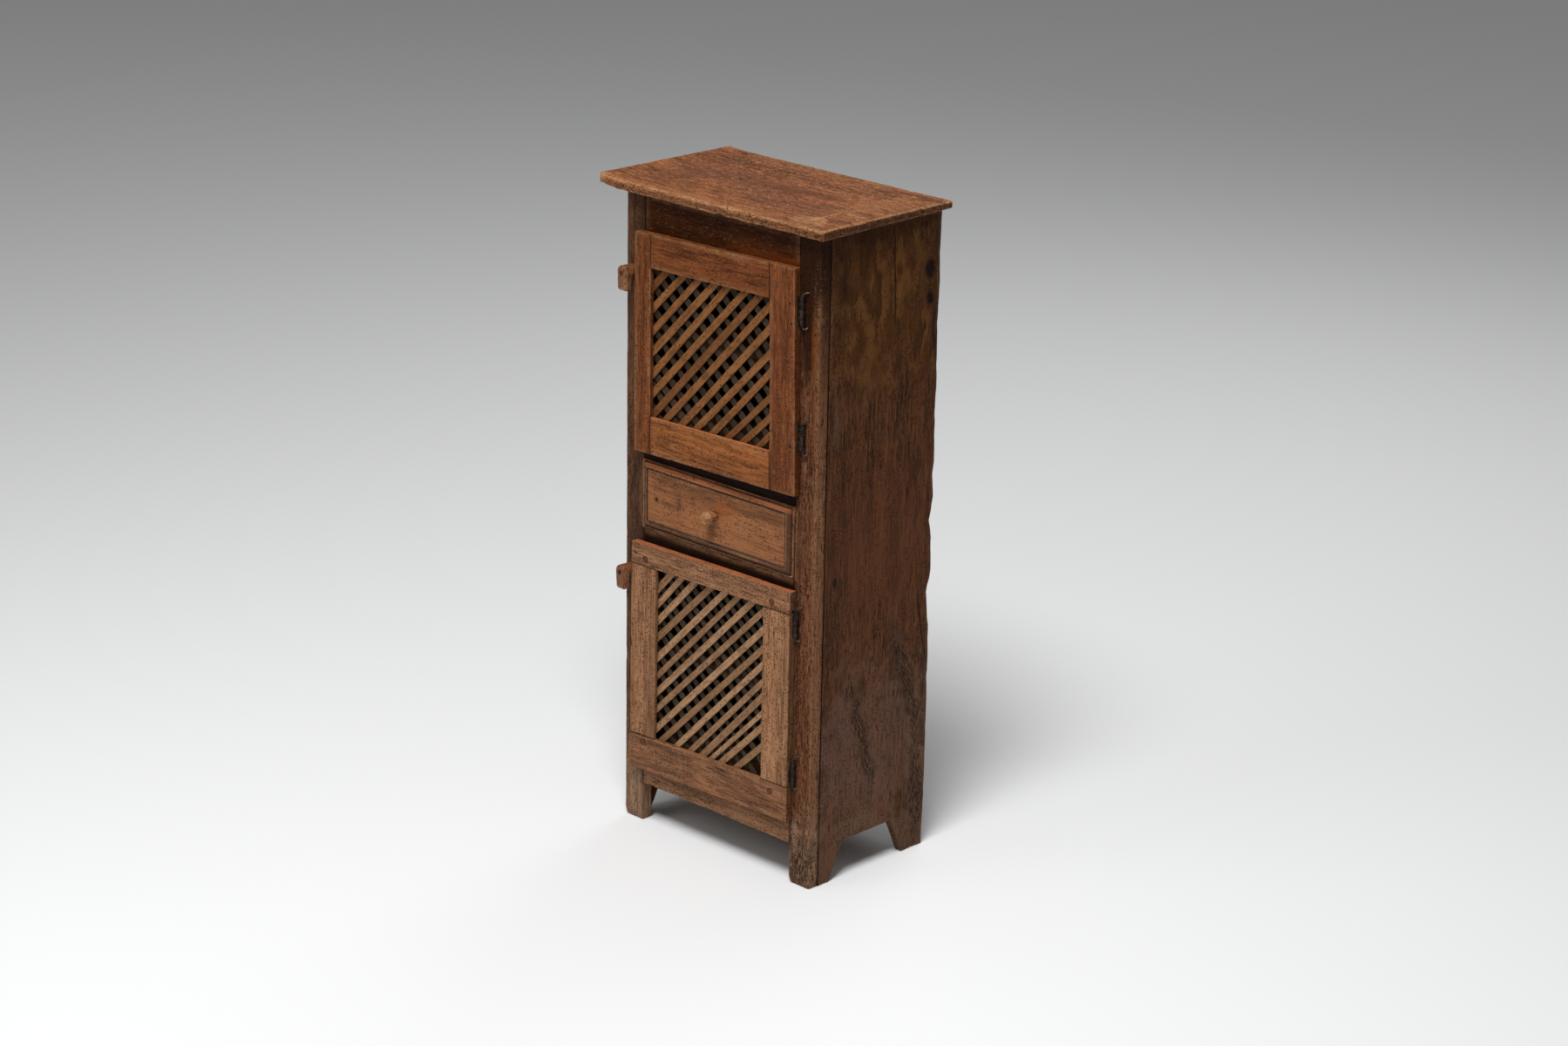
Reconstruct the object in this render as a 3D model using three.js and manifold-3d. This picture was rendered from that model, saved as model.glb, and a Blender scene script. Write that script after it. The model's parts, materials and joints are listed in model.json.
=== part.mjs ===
// A small rustic pie safe: plank top, two posts, plank sides on bracket feet, two lattice doors and a drawer.
// Millimetres, +Z up, the front faces -Y. The origin ends up under the middle of the whole cupboard.
import * as THREE from "three";
import { mergeVertices } from "three/addons/utils/BufferGeometryUtils.js";
import Module from "manifold-3d";

const wasm = await Module();
wasm.setup();

// Body
const bodyWidth = 436.6;
const bodyDepth = 279;
const fit = 0.3; // joiner's clearance between seated pieces
const overrun = 5; // how far a cutting shape runs past what it cuts

// Heights up the front, from the floor to the top
const underRail = 70.4;
const bottomRailHeight = 57.6;
const lowerOpening = 362;
const lowerMiddleRailHeight = 42.2;
const drawerOpening = 122.4;
const upperMiddleRailHeight = 45.4;
const upperOpening = 322;
const friezeHeight = 81.5;
const topThickness = 16.5;

const bottomRailTop = underRail + bottomRailHeight;
const lowerMiddleRailBase = bottomRailTop + lowerOpening;
const drawerFloor = lowerMiddleRailBase + lowerMiddleRailHeight;
const upperMiddleRailBase = drawerFloor + drawerOpening;
const upperFloor = upperMiddleRailBase + upperMiddleRailHeight;
const friezeBase = upperFloor + upperOpening;
const carcassTop = friezeBase + friezeHeight;

// Top board
const topLeftOverhang = 46.8;
const topRightOverhang = 21.6;
const topFrontOverhang = 21.1;
const topBackOverhang = 1;
const topUpperArris = 3.6;
const topLowerArris = 1.4;
const topLeftCorner = 9; // how far hands have rounded each end's corners
const topRightCorner = 4;
const topCurl = 4.5; // how far the left end has curled up
const topCurlFadeShare = 0.5;
const topThinning = 4.5; // how much thinner the right end is at the rear

// Posts and rails
const leftPostWidth = 43.3;
const rightPostWidth = 45.1;
const postDepth = 22.1;
const postArris = 1.6;
const railThickness = 20;
const tenonThickness = 8;
const tenonLength = 26;
const tenonShoulder = 7;

// Side boards and their bracket feet
const sideCrack = 0.6; // the open joint behind each post
const sideThickness = 15;
const archHeight = 65.1;
const frontFootFloor = 25.5;
const frontFootTop = 60;
const backFootFloor = 53;
const backFootTop = 82.1;
const tongueThickness = 5;
const tongueLength = 7;

// The right board's broken rear edge: height (of the carcass top) and how deep it is eaten (of edgeWaste)
const edgeWaste = 9.3;
const edgeWasteShares = [
  [0.03, 0.34],
  [0.068, 0.05],
  [0.24, 0],
  [0.264, 0.14],
  [0.31, 0.06],
  [0.358, 0.22],
  [0.37, 0.53],
  [0.4, 0.85],
  [0.412, 1],
  [0.422, 0.8],
  [0.433, 0.27],
  [0.446, 0],
  [0.497, 0.2],
  [0.512, 0.48],
  [0.525, 0.87],
  [0.545, 0.3],
  [0.562, 0],
  [0.597, 0.37],
  [0.616, 0],
  [0.702, 0.24],
  [0.725, 0],
  [0.789, 0.23],
  [0.829, 0.28],
  [0.892, 0],
  [0.934, 0.22],
];

// Back boards, shelves and their cleats
const backThickness = 12;
const backInset = 2;
const backBoards = 3;
const backSeam = 1;
const floorThickness = 15;
const drawerBoardThickness = 12;
const shelfThickness = 12;
const lowerShelfRise = 182;
const upperShelfRise = 168;
const shelfSetback = 18;
const cleatWidth = 12;
const cleatHeight = 18;
const cleatSetback = 12;

// Doors, lay-on, with a lattice panel in a rebate at the back
const doorGap = 0.4;
const doorThickness = 14;
const panelLap = 10;
const slatThickness = 3.1;
const panelInset = 0.2;
const doorTenonThickness = 5;
const doorTenonLength = 28;
const doorTenonShoulder = 8;

// Hinges: a strap rolled into a barrel, let into the door's edge, on a wire staple driven into the post
const barrelRadius = 4.5;
const barrelLength = 46;
const barrelOffPost = 0.5;
const boreRadius = 1.8;
const leafThickness = 2.2;
const leafInDoor = 19;
const leafSlack = 0.6;
const wireRadius = 1.35;
const wireStandoff = 1.2;
const upperLegReach = 10.5;
const upperLegRise = 8;
const lowerLegReach = 7;
const lowerLegDrop = 4;
const legDepth = 12;
const wireSides = 6;
const wireSteps = 30;
const barrelSides = 16;

// Drawer
const drawerSideGap = 0.7;
const drawerHeadGap = 1;
const drawerFieldProud = 8;
const drawerEdgeProud = 2;
const drawerFrontDepth = 20;
const drawerSideThickness = 10;
const drawerSideHeight = 104;
const drawerRearGap = 27.2; // from the drawer's back to the back boards
const drawerLapDepth = 12;
const drawerBackHeight = 86;
const drawerBottomThickness = 6;
const drawerBottomRise = 7;
const drawerGroove = 4;
const guideHeight = 22;

// The moulding worked round the drawer front, from the outer edge in to the raised field
const beadWidth = 3;
const beadRise = 1.5;
const quirkWidth = 1.5;
const quirkDepth = 1.8;
const ovoloWidth = 9;
const ovoloSteps = 5;
const beadSteps = 4;

// Knob, whittled to eight flats
const knobX = -2;
const knobRise = 63.5;
const knobLength = 24;
const knobNeckRadius = 8.2;
const knobWidestRadius = 12.2;
const knobEndRadius = 8.6;
const knobWidestShare = 0.68;
const knobSpigotRadius = 5.5;
const knobSpigotLength = 13;
const knobFlats = 8;

// Turn buttons on their nails
const buttonPostEdge = 15.4; // from the body's left side in to the nail of the upper button
const lowerButtonPostEdge = 13.2;
const upperButtonZ = 967.6;
const lowerButtonZ = 450.6;
const buttonRadius = 12.4;
const buttonReach = 30;
const buttonEndCorner = 3;
const buttonOverDoor = 0.9;
const buttonArmThickness = 12;
const buttonFacet = 3.6;
const buttonTipTaper = 1.6;
const nailRadius = 1.5;
const nailBore = 1.9;
const nailHeadRadius = 3.6;
const nailHeadHeight = 1.6;
const nailInPost = 15;
const roundSides = 20;

// Lines that several pieces share
const leftSideX = -bodyWidth / 2;
const rightSideX = bodyWidth / 2;
const openingLeft = leftSideX + leftPostWidth;
const openingRight = rightSideX - rightPostWidth;
const insideLeft = leftSideX + sideThickness;
const insideRight = rightSideX - sideThickness;
const sideFront = postDepth + sideCrack;
const backFront = bodyDepth - backInset - backThickness;
const doorBack = -doorGap;
const doorFront = doorBack - doorThickness;
const hingeAxisY = -(barrelOffPost + barrelRadius);

const finish = (color, roughness, metalness) =>
  new THREE.MeshStandardMaterial({ color, roughness, metalness });
const materials = {
  top: finish(0x78482f, 0.55, 0),
  carcass: finish(0x54341f, 0.6, 0),
  door: finish(0x7d5032, 0.55, 0),
  lattice: finish(0x875f3c, 0.6, 0),
  inside: finish(0x6a4a30, 0.75, 0),
  iron: finish(0x2e2a28, 0.5, 0.9),
};

// Solids and meshes

function solidOf(geometry) {
  const bare = geometry.clone();
  bare.deleteAttribute("normal");
  bare.deleteAttribute("uv");
  const merged = mergeVertices(bare);
  return new wasm.Manifold(
    new wasm.Mesh({
      numProp: 3,
      vertProperties: merged.attributes.position.array,
      triVerts: new Uint32Array(merged.index.array),
    }),
  );
}

function meshOf(name, solid, material, shape = (point) => point) {
  const raw = solid.getMesh();
  const geometry = new THREE.BufferGeometry();
  const position = new THREE.BufferAttribute(new Float32Array(raw.vertProperties), raw.numProp);
  const point = new THREE.Vector3();
  for (let i = 0; i < position.count; i++) {
    shape(point.fromBufferAttribute(position, i));
    position.setXYZ(i, point.x, point.y, point.z);
  }
  geometry.setAttribute("position", position);
  geometry.setIndex(new THREE.BufferAttribute(new Uint32Array(raw.triVerts), 1));
  geometry.computeVertexNormals();
  const mesh = new THREE.Mesh(geometry, material);
  mesh.name = name;
  return mesh;
}

// A box between exact planes
function box(x0, x1, y0, y1, z0, z1) {
  const geometry = new THREE.BoxGeometry(1, 1, 1);
  const at = geometry.attributes.position;
  for (let i = 0; i < at.count; i++) {
    at.setXYZ(i, at.getX(i) < 0 ? x0 : x1, at.getY(i) < 0 ? y0 : y1, at.getZ(i) < 0 ? z0 : z1);
  }
  return solidOf(geometry);
}

// An outline drawn on the front, [x, z], with its thickness from y0 back to y1
function frontPrism(outline, y0, y1) {
  const shape = new THREE.Shape(outline.map(([x, z]) => new THREE.Vector2(x, z)));
  const geometry = new THREE.ExtrudeGeometry(shape, { depth: 1, bevelEnabled: false });
  const at = geometry.attributes.position;
  for (let i = 0; i < at.count; i++) at.setXYZ(i, at.getX(i), at.getZ(i) > 0 ? y0 : y1, at.getY(i));
  return solidOf(geometry);
}

// An outline drawn on the side, [y, z], with its thickness from x0 to x1
function sidePrism(outline, x0, x1) {
  const shape = new THREE.Shape(outline.map(([y, z]) => new THREE.Vector2(y, z)));
  const geometry = new THREE.ExtrudeGeometry(shape, { depth: 1, bevelEnabled: false });
  const at = geometry.attributes.position;
  for (let i = 0; i < at.count; i++) at.setXYZ(i, at.getZ(i) > 0 ? x1 : x0, at.getX(i), at.getY(i));
  return solidOf(geometry);
}

// A block whose section is a rectangle that narrows by each level's inset, joined level to level
function steppedBlock(a0, a1, b0, b1, levels, place) {
  const corners = [];
  for (const { inset, level } of levels) {
    const ring = [
      [a0 + inset, b0 + inset],
      [a1 - inset, b0 + inset],
      [a1 - inset, b1 - inset],
      [a0 + inset, b1 - inset],
    ];
    for (const [a, b] of ring) corners.push(...place(a, b, level));
  }
  const faces = [0, 2, 1, 0, 3, 2];
  const sides = 4;
  for (let ring = 0; ring + 1 < levels.length; ring++) {
    for (let side = 0; side < sides; side++) {
      const here = ring * sides + side;
      const next = ring * sides + ((side + 1) % sides);
      faces.push(here, next, next + sides, here, next + sides, here + sides);
    }
  }
  const last = (levels.length - 1) * sides;
  faces.push(last, last + 1, last + 2, last, last + 2, last + 3);
  const geometry = new THREE.BufferGeometry();
  geometry.setAttribute("position", new THREE.Float32BufferAttribute(corners, 3));
  geometry.setIndex(faces);
  return solidOf(geometry);
}

// A turned form about the Y direction through x, z: each profile point is [radius, y], front first
function turned(profile, x, z, sides, turn = 0) {
  const geometry = new THREE.LatheGeometry(
    profile.map(([radius, y]) => new THREE.Vector2(radius, y)),
    sides,
    turn,
  );
  geometry.translate(x, 0, z);
  return solidOf(geometry);
}

// Adds the solids of a list together, or takes them all from the first
const joined = (solids) => solids.reduce((whole, piece) => whole.add(piece));
const cutBy = (solid, cutters) => cutters.reduce((left, cutter) => left.subtract(cutter), solid);

// Rails between the posts

const rails = {
  bottom_rail: [underRail, bottomRailTop],
  lower_middle_rail: [lowerMiddleRailBase, drawerFloor],
  upper_middle_rail: [upperMiddleRailBase, upperFloor],
  frieze_rail: [friezeBase, carcassTop - fit],
};
const tenonFront = (railThickness - tenonThickness) / 2;

function railSolid([base, head]) {
  const body = box(openingLeft + fit, openingRight - fit, 0, railThickness, base, head);
  const tenon = box(
    openingLeft - tenonLength,
    openingRight + tenonLength,
    tenonFront,
    tenonFront + tenonThickness,
    base + tenonShoulder,
    head - tenonShoulder,
  );
  return body.add(tenon);
}

// The holes that one rail's tenons need in both posts
function mortises([base, head]) {
  return box(
    openingLeft - tenonLength - fit,
    openingRight + tenonLength + fit,
    tenonFront - fit,
    tenonFront + tenonThickness + fit,
    base + tenonShoulder - fit,
    head - tenonShoulder + fit,
  );
}

// Posts

// One post in plan, with its outer front arris taken off, extruded from the floor up
function postBlank(inner, outer) {
  const out = Math.sign(outer);
  const plan = [
    [inner, 0],
    [outer - out * postArris, 0],
    [outer, postArris],
    [outer, postDepth],
    [inner, postDepth],
  ];
  const shape = new THREE.Shape(plan.map(([x, y]) => new THREE.Vector2(x, y)));
  const geometry = new THREE.ExtrudeGeometry(shape, { depth: carcassTop - fit, bevelEnabled: false });
  return solidOf(geometry);
}

function tongueBox(out, slack) {
  const middle = (out * (insideRight + rightSideX)) / 2;
  const half = tongueThickness / 2 + slack;
  return box(
    middle - half,
    middle + half,
    sideFront - sideCrack - tongueLength - slack,
    sideFront + overrun,
    underRail - slack,
    carcassTop + (slack > 0 ? overrun : -fit),
  );
}

function postSolid(inner, outer, extraCuts) {
  const cuts = Object.values(rails).map(mortises);
  return cutBy(postBlank(inner, outer), [...cuts, tongueBox(Math.sign(outer), fit), ...extraCuts]);
}

// Side boards

function sideOutline(eaten) {
  const frontFoot = sideFront + frontFootFloor;
  const archFront = sideFront + frontFootTop;
  const backFoot = bodyDepth - backFootFloor;
  const archBack = bodyDepth - backFootTop;
  const edge = edgeWasteShares.map(([up, deep]) => [bodyDepth - edgeWaste * deep, carcassTop * up]);
  return [
    [sideFront, 0],
    [frontFoot, 0],
    [archFront, archHeight],
    [archBack, archHeight],
    [backFoot, 0],
    [eaten ? edge[0][0] : bodyDepth, 0],
    ...(eaten ? edge : []),
    [bodyDepth, carcassTop - fit],
    [sideFront, carcassTop - fit],
  ];
}

function sideSolid(x0, x1, eaten) {
  return sidePrism(sideOutline(eaten), x0, x1).add(tongueBox(Math.sign(x0 + x1), 0));
}

// Top

// The plank's outline as a row of rungs from its left end to its right end: [x, front y, rear y]
function topRungs(inset) {
  const left = leftSideX - topLeftOverhang + inset;
  const right = rightSideX + topRightOverhang - inset;
  const front = -topFrontOverhang + inset;
  const rear = bodyDepth + topBackOverhang - inset;
  const cornerSteps = 4;
  const rungs = [
    [leftSideX, front, rear],
    [rightSideX, front, rear],
  ];
  for (let step = 0; step <= cornerSteps; step++) {
    const angle = (step / cornerSteps) * (Math.PI / 2);
    const spread = 1 - Math.sin(angle);
    const setback = 1 - Math.cos(angle);
    const leftRound = topLeftCorner - inset;
    const rightRound = topRightCorner - inset;
    rungs.push([left + leftRound * setback, front + leftRound * spread, rear - leftRound * spread]);
    rungs.push([right - rightRound * setback, front + rightRound * spread, rear - rightRound * spread]);
  }
  return rungs.sort((a, b) => a[0] - b[0]);
}

// How far a point of the plank lies above its level: the left end curls up, the right end's underside thins out
function topRise(x, y, under) {
  const back = (y + topFrontOverhang) / (bodyDepth + topBackOverhang + topFrontOverhang);
  const curl = topCurl * (1 - topCurlFadeShare * back);
  const thinning = under ? topThinning * back : 0;
  const leftReach = Math.max(0, (leftSideX - x) / topLeftOverhang);
  const rightReach = Math.max(0, (x - rightSideX) / topRightOverhang);
  return curl * leftReach + thinning * rightReach;
}

function topLevels() {
  const levels = [
    { inset: topLowerArris, level: carcassTop, under: true },
    { inset: 0, level: carcassTop + topLowerArris, under: true },
  ];
  const arrisSteps = 3;
  for (let step = 0; step <= arrisSteps; step++) {
    const angle = (step / arrisSteps) * (Math.PI / 2);
    levels.push({
      inset: topUpperArris * (1 - Math.cos(angle)),
      level: carcassTop + topThickness - topUpperArris * (1 - Math.sin(angle)),
      under: false,
    });
  }
  return levels;
}

function topSolid() {
  const levels = topLevels();
  const corners = [];
  for (const { inset, level, under } of levels) {
    for (const [x, front] of topRungs(inset)) corners.push(x, front, level + topRise(x, front, under));
    for (const [x, , rear] of topRungs(inset)) corners.push(x, rear, level + topRise(x, rear, under));
  }
  const rungs = topRungs(0).length;
  const size = rungs + rungs;
  const front = (level, rung) => level * size + rung;
  const rear = (level, rung) => front(level, rung) + rungs;
  const faces = [];
  const quad = (a, b, c, d) => faces.push(a, b, c, a, c, d);
  const last = levels.length - 1;
  const end = rungs - 1;
  for (let rung = 0, next = 1; next < rungs; rung++, next++) {
    quad(front(0, rung), rear(0, rung), rear(0, next), front(0, next));
    quad(front(last, rung), front(last, next), rear(last, next), rear(last, rung));
  }
  for (let low = 0, high = 1; high <= last; low++, high++) {
    for (let rung = 0, next = 1; next < rungs; rung++, next++) {
      quad(front(low, rung), front(low, next), front(high, next), front(high, rung));
      quad(rear(low, next), rear(low, rung), rear(high, rung), rear(high, next));
    }
    quad(rear(low, 0), front(low, 0), front(high, 0), rear(high, 0));
    quad(front(low, end), rear(low, end), rear(high, end), front(high, end));
  }
  const geometry = new THREE.BufferGeometry();
  geometry.setAttribute("position", new THREE.Float32BufferAttribute(corners, 3));
  geometry.setIndex(faces);
  return solidOf(geometry);
}

// Back, floors, shelves, cleats and guides

function backBoardSolid(index) {
  const first = insideLeft + fit;
  const width = (insideRight - fit - first + backSeam) / backBoards;
  const x0 = first + index * width;
  return box(x0, x0 + width - backSeam, backFront, backFront + backThickness, underRail, carcassTop - fit);
}

// Every level board: its upper face, thickness and where its front edge starts
const boards = {
  floor_board: { head: bottomRailTop, thickness: floorThickness, front: railThickness + fit },
  lower_shelf: {
    head: bottomRailTop + lowerShelfRise,
    thickness: shelfThickness,
    front: postDepth + shelfSetback,
  },
  drawer_board: { head: drawerFloor, thickness: drawerBoardThickness, front: railThickness + fit },
  upper_floor_board: { head: upperFloor, thickness: floorThickness, front: railThickness + fit },
  upper_shelf: {
    head: upperFloor + upperShelfRise,
    thickness: shelfThickness,
    front: postDepth + shelfSetback,
  },
};

// A board runs between the side boards, and is notched round the posts where it comes that far forward
function boardSolid({ head, thickness, front }) {
  const foot = head - thickness;
  const blank = box(insideLeft + fit, insideRight - fit, front, backFront - fit, foot, head);
  const notch = (x0, x1) => box(x0, x1, front - overrun, postDepth + fit, foot - overrun, head + overrun);
  const notches = [
    notch(insideLeft - overrun, openingLeft + fit),
    notch(openingRight - fit, insideRight + overrun),
  ];
  return front < postDepth ? cutBy(blank, notches) : blank;
}

function cleatSolid({ head, thickness }, side) {
  const wall = side < 0 ? insideLeft + fit : insideRight - fit;
  const free = wall - side * cleatWidth;
  const top = head - thickness - fit;
  return box(
    Math.min(wall, free),
    Math.max(wall, free),
    postDepth + cleatSetback,
    backFront - cleatSetback,
    top - cleatHeight,
    top,
  );
}

function guideSolid(side) {
  const wall = side < 0 ? insideLeft + fit : insideRight - fit;
  const free = side < 0 ? openingLeft : openingRight;
  return box(
    Math.min(wall, free),
    Math.max(wall, free),
    postDepth + fit,
    backFront - cleatSetback,
    drawerFloor + fit,
    drawerFloor + fit + guideHeight,
  );
}

// Doors
// A door is drawn as a true rectangle and then racked to the lean that the old frame has taken:
// each corner's offset is how far it lies from the rectangle, across and up.

const doors = {
  upper: {
    lap: { left: 10.6, right: 6.4, below: 28.6, above: 22 },
    base: upperFloor,
    head: friezeBase,
    corners: {
      bottomLeft: [-0.2, -4.2],
      bottomRight: [4.6, 4.1],
      topLeft: [0, -3.8],
      topRight: [-4.3, 3.8],
    },
    leftStile: 38.3,
    rightStile: 56,
    topRail: 57.5,
    bottomRail: 64.5,
    stilesThrough: true,
    barrelOffset: 8.3,
    hingeDrops: [70, 276],
    slatWidth: 12.3,
  },
  lower: {
    lap: { left: 16.8, right: 5.5, below: 19.9, above: 21 },
    base: bottomRailTop,
    head: lowerMiddleRailBase,
    corners: {
      bottomLeft: [-2.1, -5.7],
      bottomRight: [0, 5.7],
      topLeft: [2, -2.6],
      topRight: [0, 2.5],
    },
    leftStile: 59.5,
    rightStile: 60,
    topRail: 38.3,
    bottomRail: 61.5,
    stilesThrough: false,
    barrelOffset: 5.2,
    hingeDrops: [57, 317],
    slatWidth: 11,
  },
};

for (const door of Object.values(doors)) {
  door.left = openingLeft - door.lap.left;
  door.right = openingRight + door.lap.right;
  door.bottom = door.base - door.lap.below;
  door.top = door.head + door.lap.above;
  door.openLeft = door.left + door.leftStile;
  door.openRight = door.right - door.rightStile;
  door.openBottom = door.bottom + door.bottomRail;
  door.openTop = door.top - door.topRail;
  door.axisX = door.right + door.barrelOffset;
}

function racked(door) {
  return (point) => {
    const across = (point.x - door.left) / (door.right - door.left);
    const up = (point.z - door.bottom) / (door.top - door.bottom);
    const weights = [
      [door.corners.bottomLeft, (1 - across) * (1 - up)],
      [door.corners.bottomRight, across * (1 - up)],
      [door.corners.topLeft, (1 - across) * up],
      [door.corners.topRight, across * up],
    ];
    for (const [[aside, rise], weight] of weights) {
      point.x += aside * weight;
      point.z += rise * weight;
    }
    return point;
  };
}

function panelPocket(door) {
  return box(
    door.openLeft - panelLap,
    door.openRight + panelLap,
    doorBack - panelInset - 2 * slatThickness - fit,
    doorBack + overrun,
    door.openBottom - panelLap,
    door.openTop + panelLap,
  );
}

function leafSlot(door, drop) {
  const middle = door.top - drop;
  const half = barrelLength / 2 + leafSlack;
  return box(
    door.right - leafInDoor - fit,
    door.right + overrun,
    hingeAxisY - leafThickness / 2 - fit,
    hingeAxisY + leafThickness / 2 + fit,
    middle - half,
    middle + half,
  );
}

// A frame's tenons run along the pieces that stop short; the through pieces hold the mortises
function doorFrame(door) {
  const plank = (x0, x1, z0, z1) => box(x0, x1, doorFront, doorBack, z0, z1);
  const middleY = (doorFront + doorBack) / 2;
  const bar = (x0, x1, z0, z1, slack) =>
    box(
      x0 - slack,
      x1 + slack,
      middleY - doorTenonThickness / 2 - slack,
      middleY + doorTenonThickness / 2 + slack,
      z0 - slack,
      z1 + slack,
    );
  const clear = panelLap + doorTenonShoulder / 2;
  const tenons = door.stilesThrough
    ? {
        top_rail: [
          door.openLeft - doorTenonLength,
          door.openRight + doorTenonLength,
          door.openTop + clear,
          door.top - doorTenonShoulder,
        ],
        bottom_rail: [
          door.openLeft - doorTenonLength,
          door.openRight + doorTenonLength,
          door.bottom + doorTenonShoulder,
          door.openBottom - clear,
        ],
      }
    : {
        left_stile: [
          door.left + doorTenonShoulder,
          door.openLeft - clear,
          door.openBottom - doorTenonLength,
          door.openTop + doorTenonLength,
        ],
        right_stile: [
          door.openRight + clear,
          door.right - leafInDoor - doorTenonShoulder,
          door.openBottom - doorTenonLength,
          door.openTop + doorTenonLength,
        ],
      };
  const stileEnds = door.stilesThrough
    ? [door.bottom, door.top]
    : [door.openBottom + fit, door.openTop - fit];
  const railEnds = door.stilesThrough
    ? [door.openLeft + fit, door.openRight - fit]
    : [door.left, door.right];
  const blanks = {
    left_stile: plank(door.left, door.openLeft, ...stileEnds),
    right_stile: plank(door.openRight, door.right, ...stileEnds),
    top_rail: plank(...railEnds, door.openTop, door.top),
    bottom_rail: plank(...railEnds, door.bottom, door.openBottom),
  };
  const mortised = Object.values(tenons).map((ends) => bar(...ends, fit));
  const cuts = [panelPocket(door), ...door.hingeDrops.map((drop) => leafSlot(door, drop))];
  const pieces = {};
  for (const [name, blank] of Object.entries(blanks)) {
    const through = !(name in tenons);
    const shaped = through ? cutBy(blank, mortised) : blank.add(bar(...tenons[name], 0));
    pieces[name] = cutBy(shaped, cuts);
  }
  return pieces;
}

// Every slat was laid by eye. Each row holds three shares: where its middle line crosses the opening's
// mid-height (of the opening's width, from its middle), how far it runs aside for its rise (1 is 45 degrees),
// and how wide it is (of slatWidth). The front layer rises to the right and the rear layer falls.
const slatShares = {
  upper: {
    frontShares: [
      [-0.866, 1.033, 1.1],
      [-0.734, 1.061, 1.04],
      [-0.579, 1.014, 0.98],
      [-0.449, 1.023, 1.1],
      [-0.316, 0.97, 1.04],
      [-0.185, 1.005, 1.04],
      [-0.054, 0.988, 1.08],
      [0.07, 0.998, 1],
      [0.208, 0.998, 1.04],
      [0.353, 1.042, 1.02],
      [0.477, 1.015, 1],
      [0.639, 1.089, 0.91],
      [0.782, 1.128, 0.96],
      [0.874, 1.051, 0.87],
    ],
    rearShares: [
      [-0.925, 0.98, 1],
      [-0.785, 0.98, 1],
      [-0.708, 1.046, 1.14],
      [-0.585, 1.028, 1.06],
      [-0.432, 0.952, 0.91],
      [-0.315, 0.96, 1],
      [-0.185, 0.936, 1],
      [-0.066, 0.96, 0.98],
      [0.065, 0.975, 1],
      [0.204, 0.967, 1.04],
      [0.334, 0.942, 0.85],
      [0.467, 0.992, 0.98],
      [0.588, 0.967, 1.04],
      [0.729, 1.01, 0.96],
      [0.87, 1, 1],
    ],
  },
  lower: {
    frontShares: [
      [-0.939, 0.93, 1.15],
      [-0.837, 0.93, 1],
      [-0.734, 0.964, 1.09],
      [-0.629, 1.035, 1.09],
      [-0.481, 1.008, 1.09],
      [-0.351, 0.999, 0.95],
      [-0.23, 1.017, 1.07],
      [-0.101, 1.035, 0.98],
      [0.039, 1.026, 1.07],
      [0.171, 1.036, 1.05],
      [0.294, 0.999, 1.02],
      [0.416, 0.982, 0.98],
      [0.518, 0.964, 1.15],
      [0.64, 1.027, 0.82],
      [0.746, 1.045, 1.09],
      [0.901, 1.074, 1.07],
    ],
    rearShares: [
      [-0.885, 0.89, 1],
      [-0.763, 0.89, 1],
      [-0.609, 0.865, 1.09],
      [-0.5, 0.895, 1.05],
      [-0.359, 0.858, 1.02],
      [-0.263, 0.91, 0.89],
      [-0.144, 0.895, 0.8],
      [-0.029, 0.966, 1.09],
      [0.12, 0.977, 1],
      [0.236, 1.029, 1.02],
      [0.359, 1.011, 1.09],
      [0.442, 0.96, 0.86],
      [0.566, 1.011, 0.8],
      [0.664, 1.003, 0.95],
      [0.768, 1.011, 0.91],
      [0.854, 0.977, 0.89],
      [0.889, 0.859, 0.82],
      [0.965, 0.92, 0.95],
    ],
  },
};

function slatLayer(door, rows, slope, y0, y1) {
  const left = door.openLeft - panelLap + fit;
  const right = door.openRight + panelLap - fit;
  const bottom = door.openBottom - panelLap + fit;
  const top = door.openTop + panelLap - fit;
  const middleX = (door.openLeft + door.openRight) / 2;
  const middleZ = (door.openBottom + door.openTop) / 2;
  const reach = (door.openTop - door.openBottom) / 2 + panelLap;
  const slats = rows.map(([place, run, girth]) => {
    const x = middleX + (door.openRight - door.openLeft) * place;
    const half = ((girth * door.slatWidth) / 2) * Math.hypot(1, run);
    const aside = slope * run * reach;
    const outline = [
      [x - half - aside, middleZ - reach],
      [x + half - aside, middleZ - reach],
      [x + half + aside, middleZ + reach],
      [x - half + aside, middleZ + reach],
    ];
    return frontPrism(outline, y0, y1);
  });
  return joined(slats).intersect(box(left, right, y0, y1, bottom, top));
}

function latticeSolid(door, { frontShares, rearShares }) {
  const back = doorBack - panelInset;
  const front = back - 2 * slatThickness;
  const seam = back - slatThickness;
  const frontLayer = slatLayer(door, frontShares, 1, front, seam);
  const rearLayer = slatLayer(door, rearShares, -1, seam, back);
  return largestBody(frontLayer.add(rearLayer));
}

// A corner slat too short to cross another is left off
function largestBody(solid) {
  return solid.decompose().reduce((most, body) => (body.volume() > most.volume() ? body : most));
}

// Hinges

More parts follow.
